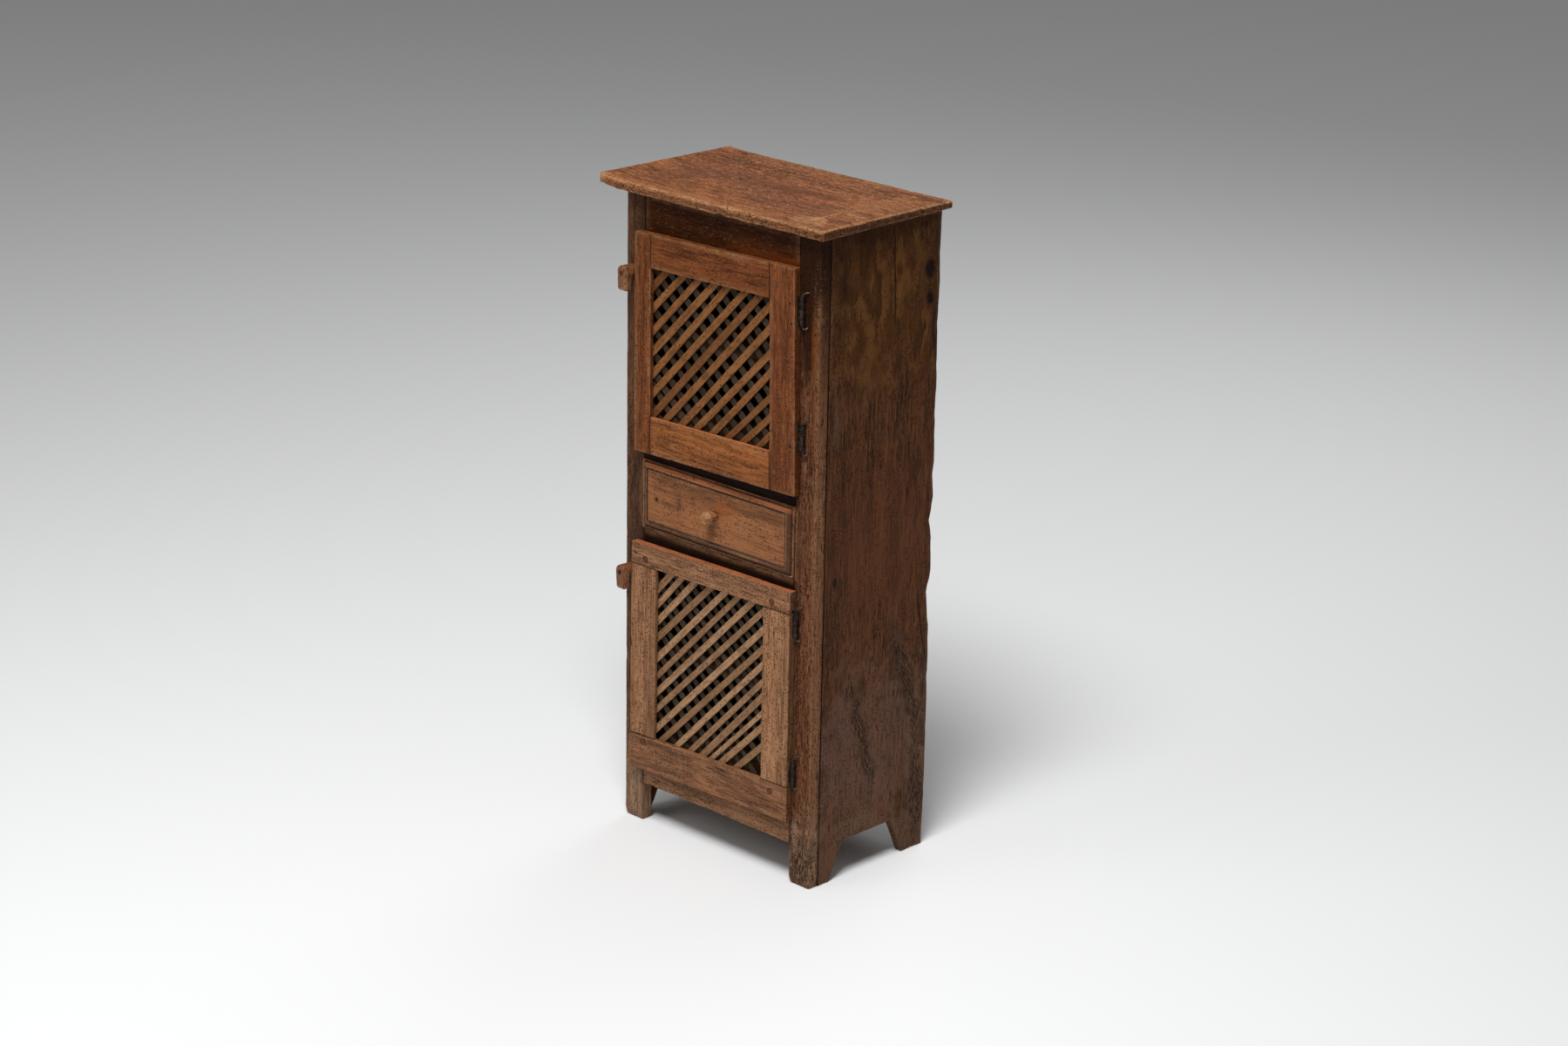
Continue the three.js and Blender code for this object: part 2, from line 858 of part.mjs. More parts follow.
function barrelSolid(door, drop) {
  const middle = door.top - drop;
  const x = door.axisX;
  const halfLeaf = leafThickness / 2;
  const meet = Math.asin(halfLeaf / barrelRadius);
  const shape = new THREE.Shape();
  shape.moveTo(door.right - leafInDoor, hingeAxisY - halfLeaf);
  shape.lineTo(x - barrelRadius * Math.cos(meet), hingeAxisY - halfLeaf);
  shape.absarc(x, hingeAxisY, barrelRadius, Math.PI + meet, 3 * Math.PI - meet, false);
  shape.lineTo(door.right - leafInDoor, hingeAxisY + halfLeaf);
  const bore = new THREE.Path();
  bore.absarc(x, hingeAxisY, boreRadius, 0, 2 * Math.PI, true);
  shape.holes.push(bore);
  const geometry = new THREE.ExtrudeGeometry(shape, {
    depth: barrelLength,
    bevelEnabled: false,
    curveSegments: barrelSides,
  });
  geometry.translate(0, 0, middle - barrelLength / 2);
  return solidOf(geometry);
}

// The wire: out of the post above the barrel, bent down through it, and bent back into the post below
function staplePath(door, drop) {
  const x = door.axisX;
  const head = door.top - drop + barrelLength / 2 + wireStandoff;
  const foot = door.top - drop - barrelLength / 2 - wireStandoff;
  const at = (aside, back, z) => new THREE.Vector3(x + aside, hingeAxisY + back, z);
  const face = -hingeAxisY;
  const path = new THREE.CurvePath();
  const crest = head + upperLegRise;
  path.add(
    new THREE.LineCurve3(at(upperLegReach, face + legDepth, crest), at(upperLegReach, face, crest)),
  );
  path.add(
    new THREE.CubicBezierCurve3(
      at(upperLegReach, face, crest),
      at(upperLegReach, 0, crest),
      at(0, 0, crest),
      at(0, 0, head),
    ),
  );
  path.add(new THREE.LineCurve3(at(0, 0, head), at(0, 0, foot)));
  path.add(
    new THREE.CubicBezierCurve3(
      at(0, 0, foot),
      at(0, 0, foot - lowerLegDrop),
      at(lowerLegReach, 0, foot - lowerLegDrop),
      at(lowerLegReach, face, foot),
    ),
  );
  path.add(new THREE.LineCurve3(at(lowerLegReach, face, foot), at(lowerLegReach, face + legDepth, foot)));
  return path;
}

function wireAlong(path, radius) {
  const section = new THREE.Shape();
  section.absarc(0, 0, radius, 0, 2 * Math.PI, false);
  const geometry = new THREE.ExtrudeGeometry(section, {
    steps: wireSteps,
    curveSegments: wireSides / 2,
    extrudePath: path,
  });
  return solidOf(geometry);
}

// Drawer

const drawer = {
  left: openingLeft + drawerSideGap,
  right: openingRight - drawerSideGap,
  bottom: drawerFloor + drawerHeadGap,
  top: upperMiddleRailBase - drawerHeadGap,
  back: drawerFrontDepth - drawerFieldProud,
};
drawer.base = drawerFloor + fit;
drawer.end = backFront - drawerRearGap;

// The worked edge in section: a bead, a quirk, an ovolo, a quirk and the field
function mouldingLevels() {
  const levels = [
    { inset: 0, level: drawer.back },
    { inset: 0, level: -drawerEdgeProud },
  ];
  for (let step = 1; step < beadSteps; step++) {
    const angle = (step / beadSteps) * Math.PI;
    levels.push({
      inset: (beadWidth / 2) * (1 - Math.cos(angle)),
      level: -drawerEdgeProud - beadRise * Math.sin(angle),
    });
  }
  const ovoloStart = beadWidth + quirkWidth;
  const quirkStart = ovoloStart + ovoloWidth;
  levels.push({ inset: beadWidth, level: -drawerEdgeProud });
  levels.push({ inset: beadWidth, level: quirkDepth - drawerEdgeProud });
  levels.push({ inset: ovoloStart, level: quirkDepth - drawerEdgeProud });
  for (let step = 0; step <= ovoloSteps; step++) {
    const angle = (step / ovoloSteps) * (Math.PI / 2);
    levels.push({
      inset: ovoloStart + ovoloWidth * (1 - Math.cos(angle)),
      level: -drawerEdgeProud - (drawerFieldProud - drawerEdgeProud) * Math.sin(angle),
    });
  }
  levels.push({ inset: quirkStart, level: quirkDepth - drawerFieldProud });
  levels.push({ inset: quirkStart + quirkWidth, level: quirkDepth - drawerFieldProud });
  levels.push({ inset: quirkStart + quirkWidth, level: -drawerFieldProud });
  return levels;
}

function drawerFrontSolid() {
  const blank = steppedBlock(
    drawer.left,
    drawer.right,
    drawer.bottom,
    drawer.top,
    mouldingLevels(),
    (a, b, level) => [a, level, b],
  );
  const lap = drawer.back - drawerLapDepth - fit;
  const sideTop = drawer.base + drawerSideHeight + fit;
  const rebate = (x0, x1) => box(x0, x1, lap, drawer.back + overrun, drawer.bottom - overrun, sideTop);
  return cutBy(blank, [
    rebate(drawer.left - overrun, drawer.left + drawerSideThickness + 2 * fit),
    rebate(drawer.right - drawerSideThickness - 2 * fit, drawer.right + overrun),
    drawerBottomSpace(fit),
    knobHole(),
  ]);
}

// The space that the bottom board fills, with a slack all round
function drawerBottomSpace(slack) {
  const inner = drawerSideThickness + fit - drawerGroove;
  return box(
    drawer.left + inner - slack,
    drawer.right - inner + slack,
    drawer.back - drawerGroove - slack,
    drawer.end + slack,
    drawer.base + drawerBottomRise - slack,
    drawer.base + drawerBottomRise + drawerBottomThickness + slack,
  );
}

function drawerSideSolid(side) {
  const outer = side < 0 ? drawer.left + fit : drawer.right - fit;
  const inner = outer - side * drawerSideThickness;
  const blank = box(
    Math.min(outer, inner),
    Math.max(outer, inner),
    drawer.back - drawerLapDepth,
    drawer.end,
    drawer.base,
    drawer.base + drawerSideHeight,
  );
  return blank.subtract(drawerBottomSpace(fit));
}

function drawerBackSolid() {
  const bottom = drawer.base + drawerBottomRise + drawerBottomThickness + fit;
  return box(
    drawer.left + drawerSideThickness + 2 * fit,
    drawer.right - drawerSideThickness - 2 * fit,
    drawer.end - drawerSideThickness,
    drawer.end,
    bottom,
    bottom + drawerBackHeight,
  );
}

const knobZ = drawerFloor + knobRise;
const knobTurn = Math.PI / knobFlats;

function knobHole() {
  return turned(
    [
      [0, -drawerFieldProud - overrun],
      [knobSpigotRadius + fit, -drawerFieldProud - overrun],
      [knobSpigotRadius + fit, knobSpigotLength - drawerFieldProud + fit],
      [0, knobSpigotLength - drawerFieldProud + fit],
    ],
    knobX,
    knobZ,
    knobFlats,
    knobTurn,
  );
}

function knobSolid() {
  const face = -drawerFieldProud - fit;
  const end = face - knobLength;
  return turned(
    [
      [0, end],
      [knobEndRadius, end],
      [knobWidestRadius, face - knobLength * knobWidestShare],
      [knobNeckRadius, face],
      [knobSpigotRadius, face],
      [knobSpigotRadius, knobSpigotLength - drawerFieldProud],
      [0, knobSpigotLength - drawerFieldProud],
    ],
    knobX,
    knobZ,
    knobFlats,
    knobTurn,
  );
}

// Turn buttons, stored hanging straight down on their nails, clear of the doors

const buttonBack = doorFront - buttonOverDoor;
const buttonFace = buttonBack - buttonArmThickness;

// The button's outline about its nail: a round head with a tapering arm below it
function buttonShape() {
  const shape = new THREE.Shape();
  const tip = buttonRadius - buttonTipTaper;
  shape.moveTo(-buttonRadius, 0);
  shape.lineTo(-tip, buttonEndCorner - buttonReach);
  shape.lineTo(buttonEndCorner - tip, -buttonReach);
  shape.lineTo(tip - buttonEndCorner, -buttonReach);
  shape.lineTo(tip, buttonEndCorner - buttonReach);
  shape.lineTo(buttonRadius, 0);
  shape.absarc(0, 0, buttonRadius, 0, Math.PI, false);
  return shape;
}

function buttonSolid(x, z) {
  const faceted = new THREE.ExtrudeGeometry(buttonShape(), {
    depth: buttonArmThickness,
    bevelThickness: buttonFacet,
    bevelSize: buttonFacet,
    bevelOffset: -buttonFacet,
    bevelSegments: 1,
    curveSegments: roundSides / 2,
  });
  faceted.rotateX(Math.PI / 2);
  faceted.translate(x, buttonBack + buttonFacet, z);
  const arm = solidOf(faceted).intersect(
    box(
      x - buttonReach - overrun,
      x + buttonReach + overrun,
      buttonFace - overrun,
      buttonBack,
      z - buttonReach - overrun,
      z + buttonReach + overrun,
    ),
  );
  const head = turned(
    [
      [0, buttonFace + buttonFacet],
      [buttonRadius - fit, buttonFace + buttonFacet],
      [buttonRadius - fit, -fit],
      [0, -fit],
    ],
    x,
    z,
    roundSides,
  );
  const bore = turned(
    [
      [0, buttonFace - buttonFacet - overrun],
      [nailBore, buttonFace - buttonFacet - overrun],
      [nailBore, overrun],
      [0, overrun],
    ],
    x,
    z,
    roundSides / 2,
  );
  return arm.add(head).subtract(bore);
}

// The nail's head sits on the button's face; the shank runs through into the post
function nailSolid(x, z) {
  const face = buttonFace - fit;
  return turned(
    [
      [0, face - nailHeadHeight],
      [nailHeadRadius / 2, face - nailHeadHeight],
      [nailHeadRadius, face - nailHeadHeight / 2],
      [nailHeadRadius, face],
      [nailRadius, face],
      [nailRadius, nailInPost],
      [0, nailInPost],
    ],
    x,
    z,
    roundSides / 2,
  );
}

function nailHole(x, z) {
  return turned(
    [
      [0, -overrun],
      [nailBore, -overrun],
      [nailBore, nailInPost + fit],
      [0, nailInPost + fit],
    ],
    x,
    z,
    roundSides / 2,
  );
}

const buttons = {
  upper: [leftSideX + buttonPostEdge, upperButtonZ],
  lower: [leftSideX + lowerButtonPostEdge, lowerButtonZ],
};

// Assembly

function buildPosts(group) {
  const nails = Object.values(buttons).map(([x, z]) => nailHole(x, z));
  const wires = [];
  for (const door of Object.values(doors)) {
    for (const drop of door.hingeDrops) {
      const hole = wireAlong(staplePath(door, drop), wireRadius + fit);
      wires.push(solidOf(meshOf("", hole, materials.iron, racked(door)).geometry));
    }
  }
  group.add(meshOf("left_post", postSolid(openingLeft, leftSideX, nails), materials.carcass));
  group.add(meshOf("right_post", postSolid(openingRight, rightSideX, wires), materials.carcass));
}

function buildCarcass(group) {
  group.add(meshOf("top_board", topSolid(), materials.top));
  buildPosts(group);
  group.add(meshOf("left_side", sideSolid(leftSideX, insideLeft, false), materials.carcass));
  group.add(meshOf("right_side", sideSolid(insideRight, rightSideX, true), materials.carcass));
  for (const [name, span] of Object.entries(rails)) {
    group.add(meshOf(name, railSolid(span), materials.carcass));
  }
  for (let index = 0; index < backBoards; index++) {
    group.add(meshOf(`back_board_${index + 1}`, backBoardSolid(index), materials.inside));
  }
  for (const [name, board] of Object.entries(boards)) {
    group.add(meshOf(name, boardSolid(board), materials.inside));
    group.add(meshOf(`${name}_cleat_left`, cleatSolid(board, -1), materials.inside));
    group.add(meshOf(`${name}_cleat_right`, cleatSolid(board, 1), materials.inside));
  }
  group.add(meshOf("drawer_guide_left", guideSolid(-1), materials.inside));
  group.add(meshOf("drawer_guide_right", guideSolid(1), materials.inside));
}

function buildDoor(group, title, door) {
  const lean = racked(door);
  for (const [name, solid] of Object.entries(doorFrame(door))) {
    group.add(meshOf(`${title}_door_${name}`, solid, materials.door, lean));
  }
  group.add(meshOf(`${title}_door_lattice`, latticeSolid(door, slatShares[title]), materials.lattice, lean));
  const places = ["top", "bottom"];
  door.hingeDrops.forEach((drop, index) => {
    const hinge = `${title}_door_${places[index]}_hinge`;
    group.add(meshOf(`${hinge}_barrel`, barrelSolid(door, drop), materials.iron, lean));
    group.add(meshOf(`${hinge}_staple`, wireAlong(staplePath(door, drop), wireRadius), materials.iron, lean));
  });
}

function buildDrawer(group) {
  group.add(meshOf("drawer_front", drawerFrontSolid(), materials.door));
  group.add(meshOf("drawer_side_left", drawerSideSolid(-1), materials.inside));
  group.add(meshOf("drawer_side_right", drawerSideSolid(1), materials.inside));
  group.add(meshOf("drawer_back", drawerBackSolid(), materials.inside));
  group.add(meshOf("drawer_bottom", drawerBottomSpace(0), materials.inside));
  group.add(meshOf("drawer_knob", knobSolid(), materials.door));
}

function buildButtons(group) {
  for (const [title, [x, z]] of Object.entries(buttons)) {
    group.add(meshOf(`${title}_button`, buttonSolid(x, z), materials.top));
    group.add(meshOf(`${title}_button_nail`, nailSolid(x, z), materials.iron));
  }
}

const pieSafe = new THREE.Group();
pieSafe.name = "pie_safe";
buildCarcass(pieSafe);
buildDoor(pieSafe, "upper", doors.upper);
buildDoor(pieSafe, "lower", doors.lower);
buildDrawer(pieSafe);
buildButtons(pieSafe);

// Stand the cupboard with the middle of its outer box over the origin
const middle = new THREE.Box3().setFromObject(pieSafe).getCenter(new THREE.Vector3());
pieSafe.position.set(-middle.x, -middle.y, 0);

export default pieSafe;
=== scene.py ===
import json
import math

import bmesh
import bpy
import numpy as np
from mathutils import Matrix, Vector, noise

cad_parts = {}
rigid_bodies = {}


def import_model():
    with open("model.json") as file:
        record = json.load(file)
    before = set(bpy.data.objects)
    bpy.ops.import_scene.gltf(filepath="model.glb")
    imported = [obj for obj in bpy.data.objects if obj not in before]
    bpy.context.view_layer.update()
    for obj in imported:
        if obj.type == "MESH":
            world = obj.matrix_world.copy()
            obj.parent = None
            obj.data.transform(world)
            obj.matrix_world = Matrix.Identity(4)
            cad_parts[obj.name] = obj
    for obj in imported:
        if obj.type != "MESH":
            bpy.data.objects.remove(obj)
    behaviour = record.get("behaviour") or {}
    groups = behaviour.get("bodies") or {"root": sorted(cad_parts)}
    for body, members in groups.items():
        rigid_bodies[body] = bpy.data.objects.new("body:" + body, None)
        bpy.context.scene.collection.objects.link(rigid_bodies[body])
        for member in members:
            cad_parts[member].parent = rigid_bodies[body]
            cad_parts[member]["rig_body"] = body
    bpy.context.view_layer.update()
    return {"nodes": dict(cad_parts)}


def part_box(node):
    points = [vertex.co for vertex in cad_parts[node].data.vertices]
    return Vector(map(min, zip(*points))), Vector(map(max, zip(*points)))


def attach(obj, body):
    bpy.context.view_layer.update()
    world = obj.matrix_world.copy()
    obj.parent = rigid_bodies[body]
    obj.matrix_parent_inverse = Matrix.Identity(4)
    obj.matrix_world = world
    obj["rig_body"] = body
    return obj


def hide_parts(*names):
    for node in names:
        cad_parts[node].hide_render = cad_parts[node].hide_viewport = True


bl_info = {
    "name": "Rustic pie safe",
    "version": (1, 0, 0),
    "blender": (4, 5, 0),
    "location": "View3D > Sidebar > Pie Safe",
    "description": "Dresses a small old food cupboard: worn planks, slatted doors, moulded drawer, hinges",
    "category": "Object",
}

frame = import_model()

MM = 0.001
HALF_BODY = 218.3
POST_LOW, POST_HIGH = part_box("right_post")
MIDDLE_X = POST_HIGH.x - HALF_BODY * MM
FRONT_Y = POST_LOW.y


def place(x, y, z):
    """A point in metres from millimetres right of the middle, behind the posts' face and above the floor."""
    return Vector((MIDDLE_X + x * MM, FRONT_Y + y * MM, z * MM))


# How each old door has racked: its true rectangle and how far each corner has moved, in millimetres.
# Each slat has three shares: where it crosses mid-height (of the opening's width, from its middle),
# how far it runs aside for its rise, and how wide it is.
DOORS = {
    "upper": {
        "left": -185.6, "right": 179.6, "bottom": 671.4, "top": 1044.0,
        "low_left": (-0.2, -4.2), "low_right": (4.6, 4.1),
        "high_left": (0.0, -3.8), "high_right": (-4.3, 3.8),
        "frame_left": 38.3, "frame_right": 56.0, "frame_top": 57.5, "frame_bottom": 64.5,
        "axis_x": 187.9, "hinge_drops": (70.0, 276.0), "slat_width": 12.3,
        "front_slats": (
            (-0.866, 1.033, 1.1), (-0.734, 1.061, 1.04), (-0.579, 1.014, 0.98), (-0.449, 1.023, 1.1),
            (-0.316, 0.97, 1.04), (-0.185, 1.005, 1.04), (-0.054, 0.988, 1.08), (0.07, 0.998, 1),
            (0.208, 0.998, 1.04), (0.353, 1.042, 1.02), (0.477, 1.015, 1), (0.639, 1.089, 0.91),
            (0.782, 1.128, 0.96), (0.874, 1.051, 0.87),
        ),
        "rear_slats": (
            (-0.925, 0.98, 1), (-0.785, 0.98, 1), (-0.708, 1.046, 1.14), (-0.585, 1.028, 1.06),
            (-0.432, 0.952, 0.91), (-0.315, 0.96, 1), (-0.185, 0.936, 1), (-0.066, 0.96, 0.98),
            (0.065, 0.975, 1), (0.204, 0.967, 1.04), (0.334, 0.942, 0.85), (0.467, 0.992, 0.98),
            (0.588, 0.967, 1.04), (0.729, 1.01, 0.96), (0.87, 1, 1),
        ),
    },
    "lower": {
        "left": -191.8, "right": 178.7, "bottom": 108.1, "top": 511.0,
        "low_left": (-2.1, -5.7), "low_right": (0.0, 5.7),
        "high_left": (2.0, -2.6), "high_right": (0.0, 2.5),
        "frame_left": 59.5, "frame_right": 60.0, "frame_top": 38.3, "frame_bottom": 61.5,
        "axis_x": 183.9, "hinge_drops": (57.0, 317.0), "slat_width": 11.0,
        "front_slats": (
            (-0.939, 0.93, 1.15), (-0.837, 0.93, 1), (-0.734, 0.964, 1.09), (-0.629, 1.035, 1.09),
            (-0.481, 1.008, 1.09), (-0.351, 0.999, 0.95), (-0.23, 1.017, 1.07), (-0.101, 1.035, 0.98),
            (0.039, 1.026, 1.07), (0.171, 1.036, 1.05), (0.294, 0.999, 1.02), (0.416, 0.982, 0.98),
            (0.518, 0.964, 1.15), (0.64, 1.027, 0.82), (0.746, 1.045, 1.09), (0.901, 1.074, 1.07),
        ),
        "rear_slats": (
            (-0.885, 0.89, 1), (-0.763, 0.89, 1), (-0.609, 0.865, 1.09), (-0.5, 0.895, 1.05),
            (-0.359, 0.858, 1.02), (-0.263, 0.91, 0.89), (-0.144, 0.895, 0.8), (-0.029, 0.966, 1.09),
            (0.12, 0.977, 1), (0.236, 1.029, 1.02), (0.359, 1.011, 1.09), (0.442, 0.96, 0.86),
            (0.566, 1.011, 0.8), (0.664, 1.003, 0.95), (0.768, 1.011, 0.91), (0.854, 0.977, 0.89),
            (0.889, 0.859, 0.82), (0.965, 0.92, 0.95),
        ),
    },
}
DOOR_BACK = -0.4
DOOR_FRONT = -14.4


def on_door(door, x, y, z):
    """Where a point of the door's true rectangle lies now that the frame has racked."""
    across = (x - door["left"]) / (door["right"] - door["left"])
    up = (z - door["bottom"]) / (door["top"] - door["bottom"])
    shares = {
        "low_left": (1 - across) * (1 - up),
        "low_right": across * (1 - up),
        "high_left": (1 - across) * up,
        "high_right": across * up,
    }
    moved_x = x + sum(door[corner][0] * share for corner, share in shares.items())
    moved_z = z + sum(door[corner][1] * share for corner, share in shares.items())
    return place(moved_x, y, moved_z)


def opening(door):
    """The opening that a door's frame leaves: its left, right, bottom and top."""
    return (
        door["left"] + door["frame_left"],
        door["right"] - door["frame_right"],
        door["bottom"] + door["frame_bottom"],
        door["top"] - door["frame_top"],
    )


# Settings


def setting(name, description, default, **more):
    return bpy.props.FloatProperty(name=name, description=description, default=default, **more)


def size_setting(name, description, default):
    return setting(name, description, default, unit="LENGTH", min=0.0, precision=5)


def angle_setting(name, description, degrees):
    return setting(name, description, math.radians(degrees), subtype="ANGLE")


def colour_setting(name, description, default):
    return bpy.props.FloatVectorProperty(
        name=name, description=description, subtype="COLOR", size=3, min=0.0, max=1.0, default=default
    )


class PieSafeWear(bpy.types.PropertyGroup):
    """How worn the wood is"""

    arris: size_setting("Arris", "Radius to which hands have rounded the edges", 0.0012)
    sway: size_setting("Sway", "How far a hand-planed face wanders", 0.0004)
    nibble: size_setting("Nibble", "How deep the arrises are nicked", 0.0014)


class PieSafeColours(bpy.types.PropertyGroup):
    """Colours of the woods and the iron"""

    top: colour_setting("Top", "The plank top", (0.222, 0.073, 0.0268))
    top_edge: colour_setting("Top edge", "The plank top's rubbed arrises", (0.480, 0.250, 0.115))
    left_post: colour_setting("Left post", "The left front post", (0.090, 0.036, 0.0155))
    right_post: colour_setting("Right post", "The right front post", (0.142, 0.0505, 0.0222))
    # Frieze: its own dark tone, darkened further as painted shade under the top's overhang.
    frieze: colour_setting("Frieze", "The rail under the top", (0.044, 0.0112, 0.0019))
    rail: colour_setting("Rail", "The rails above and below the drawer", (0.066, 0.023, 0.009))
    bottom_rail: colour_setting("Bottom rail", "The lowest rail", (0.225, 0.108, 0.055))
    side: colour_setting("Side", "The side planks", (0.096, 0.034, 0.0122))
    upper_rail: colour_setting("Upper door rail", "The upper door's top and left", (0.141, 0.041, 0.011))
    upper_stile: colour_setting("Upper door stile", "The upper door's right stile", (0.167, 0.049, 0.0145))
    upper_foot: colour_setting("Upper door foot", "The upper door's bottom rail", (0.241, 0.080, 0.022))
    lower_rail: colour_setting("Lower door rail", "The lower door's rails", (0.222, 0.095, 0.044))
    lower_stile: colour_setting("Lower door stile", "The lower door's stiles", (0.275, 0.128, 0.060))
    drawer: colour_setting("Drawer", "The drawer front", (0.212, 0.079, 0.0275))
    upper_slat: colour_setting("Upper slats", "The upper door's front slats", (0.165, 0.062, 0.0195))
    lower_slat: colour_setting("Lower slats", "The lower door's front slats", (0.262, 0.138, 0.068))
    # Rear slats: their own greyer tone, darkened further as painted shade behind the front slats.
    rear_slat: colour_setting("Rear slats", "The slats behind", (0.036, 0.023, 0.0125))
    inside: colour_setting("Inside", "The unfinished boards inside and at the back", (0.110, 0.056, 0.026))
    button: colour_setting("Button", "The turn buttons", (0.160, 0.056, 0.022))
    knob: colour_setting("Knob", "The drawer's knob", (0.295, 0.130, 0.052))
    rubbed: colour_setting("Rubbed", "Where hands have rubbed an arris pale", (0.300, 0.150, 0.070))
    iron: colour_setting("Iron", "The hinges and nails", (0.018, 0.0138, 0.0118))


class PieSafeStudio(bpy.types.PropertyGroup):
    """The floor, the lamps and the camera"""

    floor: colour_setting("Floor", "Colour of the floor", (0.92, 0.925, 0.93))
    key: setting("Key lamp", "Power of the large lamp overhead", 206.0, min=0.0)
    fill: setting("Fill lamp", "Power of the lamp at the left", 24.0, min=0.0)
    azimuth: angle_setting("Azimuth", "Where the camera stands, round to the right", 43.8969)
    elevation: angle_setting("Elevation", "How far up the camera looks from", 19.0134)
    roll: angle_setting("Roll", "How far the camera leans", 1.0495)
    distance: size_setting("Distance", "From the camera to its target", 5.931536)
    focal: setting("Focal length", "The camera's lens", 82.2, subtype="DISTANCE_CAMERA", unit="CAMERA")


def tinted(colour, shares):
    """The colour with its channels scaled by one share or by three, and none above 1."""
    shares = shares if isinstance(shares, tuple) else (shares,) * 3
    return tuple(min(1.0, channel * share) for channel, share in zip(colour, shares))


def tone(name, shares=1.0):
    """One of the colours in the settings, scaled."""
    return tinted(tuple(getattr(bpy.context.scene.pie_safe_colours, name)), shares)


# Shader recipes

GRAIN = {
    "across": (0.0, 0.0, 0.0),
    "up": (0.0, math.pi / 2, 0.0),
    "back": (0.0, 0.0, -math.pi / 2),
    "rising": (0.0, math.pi / 4, 0.0),
    "falling": (0.0, -math.pi / 4, 0.0),
}
STREAKS = {"up": (260.0, 260.0, 9.0), "across": (9.0, 260.0, 260.0)}
HOLE = (0.007, 0.0045, 0.003)
CRACK = (0.006, 0.004, 0.003)
OPEN_JOINT = (0.008, 0.0045, 0.0028)
RUST = (0.062, 0.026, 0.013)


class Recipe:
    """A material's nodes, put down one after another, with the base colour and the height made so far."""

    def __init__(self, name, colour):
        self.colour = self.base = colour
        self.material = bpy.data.materials.new(name)
        self.material.use_nodes = True
        self.tree = self.material.node_tree
        self.tree.nodes.clear()
        spot = self.add("TexCoord").outputs
        self.seen, self.looks = spot["Object"], spot["Normal"]

    def add(self, kind, sockets=None, **traits):
        node = self.tree.nodes.new(f"ShaderNode{kind}")
        for trait, value in traits.items():
            setattr(node, trait, value)
        for key, value in (sockets or {}).items():
            if isinstance(value, bpy.types.NodeSocket):
                self.tree.links.new(value, node.inputs[key])
            else:
                node.inputs[key].default_value = value
        return node

    def math(self, operation, first, *others):
        """One operation of one value, or of several from left to right."""
        if not others:
            return self.add("Math", {0: first}, operation=operation).outputs[0]
        for value in others:
            first = self.add("Math", {0: first, 1: value}, operation=operation).outputs[0]
        return first

    def plus(self, *values):
        return self.math("ADD", *values)

    def less(self, *values):
        return self.math("SUBTRACT", *values)

    def times(self, *values):
        return self.math("MULTIPLY", *values)

    def swing(self, value, share):
        """A noise about nothing instead of a half, times a share."""
        return self.times(self.less(value, 0.5), share)

    def vector(self, operation, first, second=(0.0, 0.0, 0.0), output=0):
        return self.add("VectorMath", {0: first, 1: second}, operation=operation).outputs[output]

    def parts(self, vector):
        return self.add("SeparateXYZ", {0: vector}).outputs

    def combined(self, *values):
        return self.add("CombineXYZ", dict(enumerate(values))).outputs[0]

    def layer(self, name):
        """How strongly a mesh carries one of its own marks, point by point."""
        return self.add("Attribute", attribute_name=name).outputs["Fac"]

    def span(self, value, low, high, to_low=0.0, to_high=1.0):
        sockets = {"Value": value, "From Min": low, "From Max": high, "To Min": to_low, "To Max": to_high}
        return self.add("MapRange", sockets, interpolation_type="SMOOTHSTEP").outputs[0]

    def noise(self, vector, scale, detail=3.0, rough=0.5):
        sockets = {"Vector": vector, "Scale": scale, "Detail": detail, "Roughness": rough}
        return self.add("TexNoise", sockets).outputs["Fac"]

    def woven(self, vector, weave, detail=3.0, rough=0.5):
        """A noise drawn out differently each way."""
        return self.noise(self.vector("MULTIPLY", vector, weave), 1.0, detail, rough)

    def fibres(self, vector, along, across, detail=3.0, rough=0.5):
        return self.woven(vector, (along, across, across), detail, rough)

    def turned(self, run, shift):
        """The place seen along the grain, moved so that no two boards are alike."""
        sockets = {"Vector": self.seen, "Rotation": GRAIN[run], "Location": shift}
        return self.add("Mapping", sockets).outputs[0]

    def away(self, centre, reach):
        """How far a point lies from a centre, in shares of the reach each way (0: no end), in millimetres."""
        scale = tuple(1 / (way * MM) if way else 0.0 for way in reach)
        gap = self.vector("SUBTRACT", self.seen, place(*centre))
        return self.vector("LENGTH", self.vector("MULTIPLY", gap, scale), output=1)

    def shade(self, factor, first, second):
        node = self.add("Mix", {"Factor": factor}, data_type="RGBA")
        for index, value in ((6, first), (7, second)):
            if isinstance(value, bpy.types.NodeSocket):
                self.tree.links.new(value, node.inputs[index])
            else:
                node.inputs[index].default_value = (*value[:3], 1.0)
        return node.outputs[2]

    def tint(self, shares):
        return tinted(self.colour, shares)

    def coat(self, cover, tint):
        """Lays a colour over the base, or with a number the material's own colour times it."""
        self.base = self.shade(cover, self.base, tint if isinstance(tint, tuple) else self.tint(tint))

    def coats(self, *rows):
        """Lays colours where a noise lies between two levels, each in its share."""
        for source, low, high, share, tint in rows:
            self.coat(self.times(self.span(source, low, high), share), tint)

    def sink(self, cover, depth):
        self.height = self.less(self.height, self.times(cover, depth))

    def finish(self, roughness, depth, metallic=0.0, sheen=0.08):
        bump = self.add("Bump", {"Height": self.height, "Distance": depth, "Strength": 1.0})
        sockets = {"Base Color": self.base, "Roughness": roughness, "Metallic": metallic}
        sockets |= {"Normal": bump.outputs[0], "Specular IOR Level": sheen}
        shader = self.add("BsdfPrincipled", sockets)
        self.add("OutputMaterial", {"Surface": shader.outputs[0]})
        return self.material


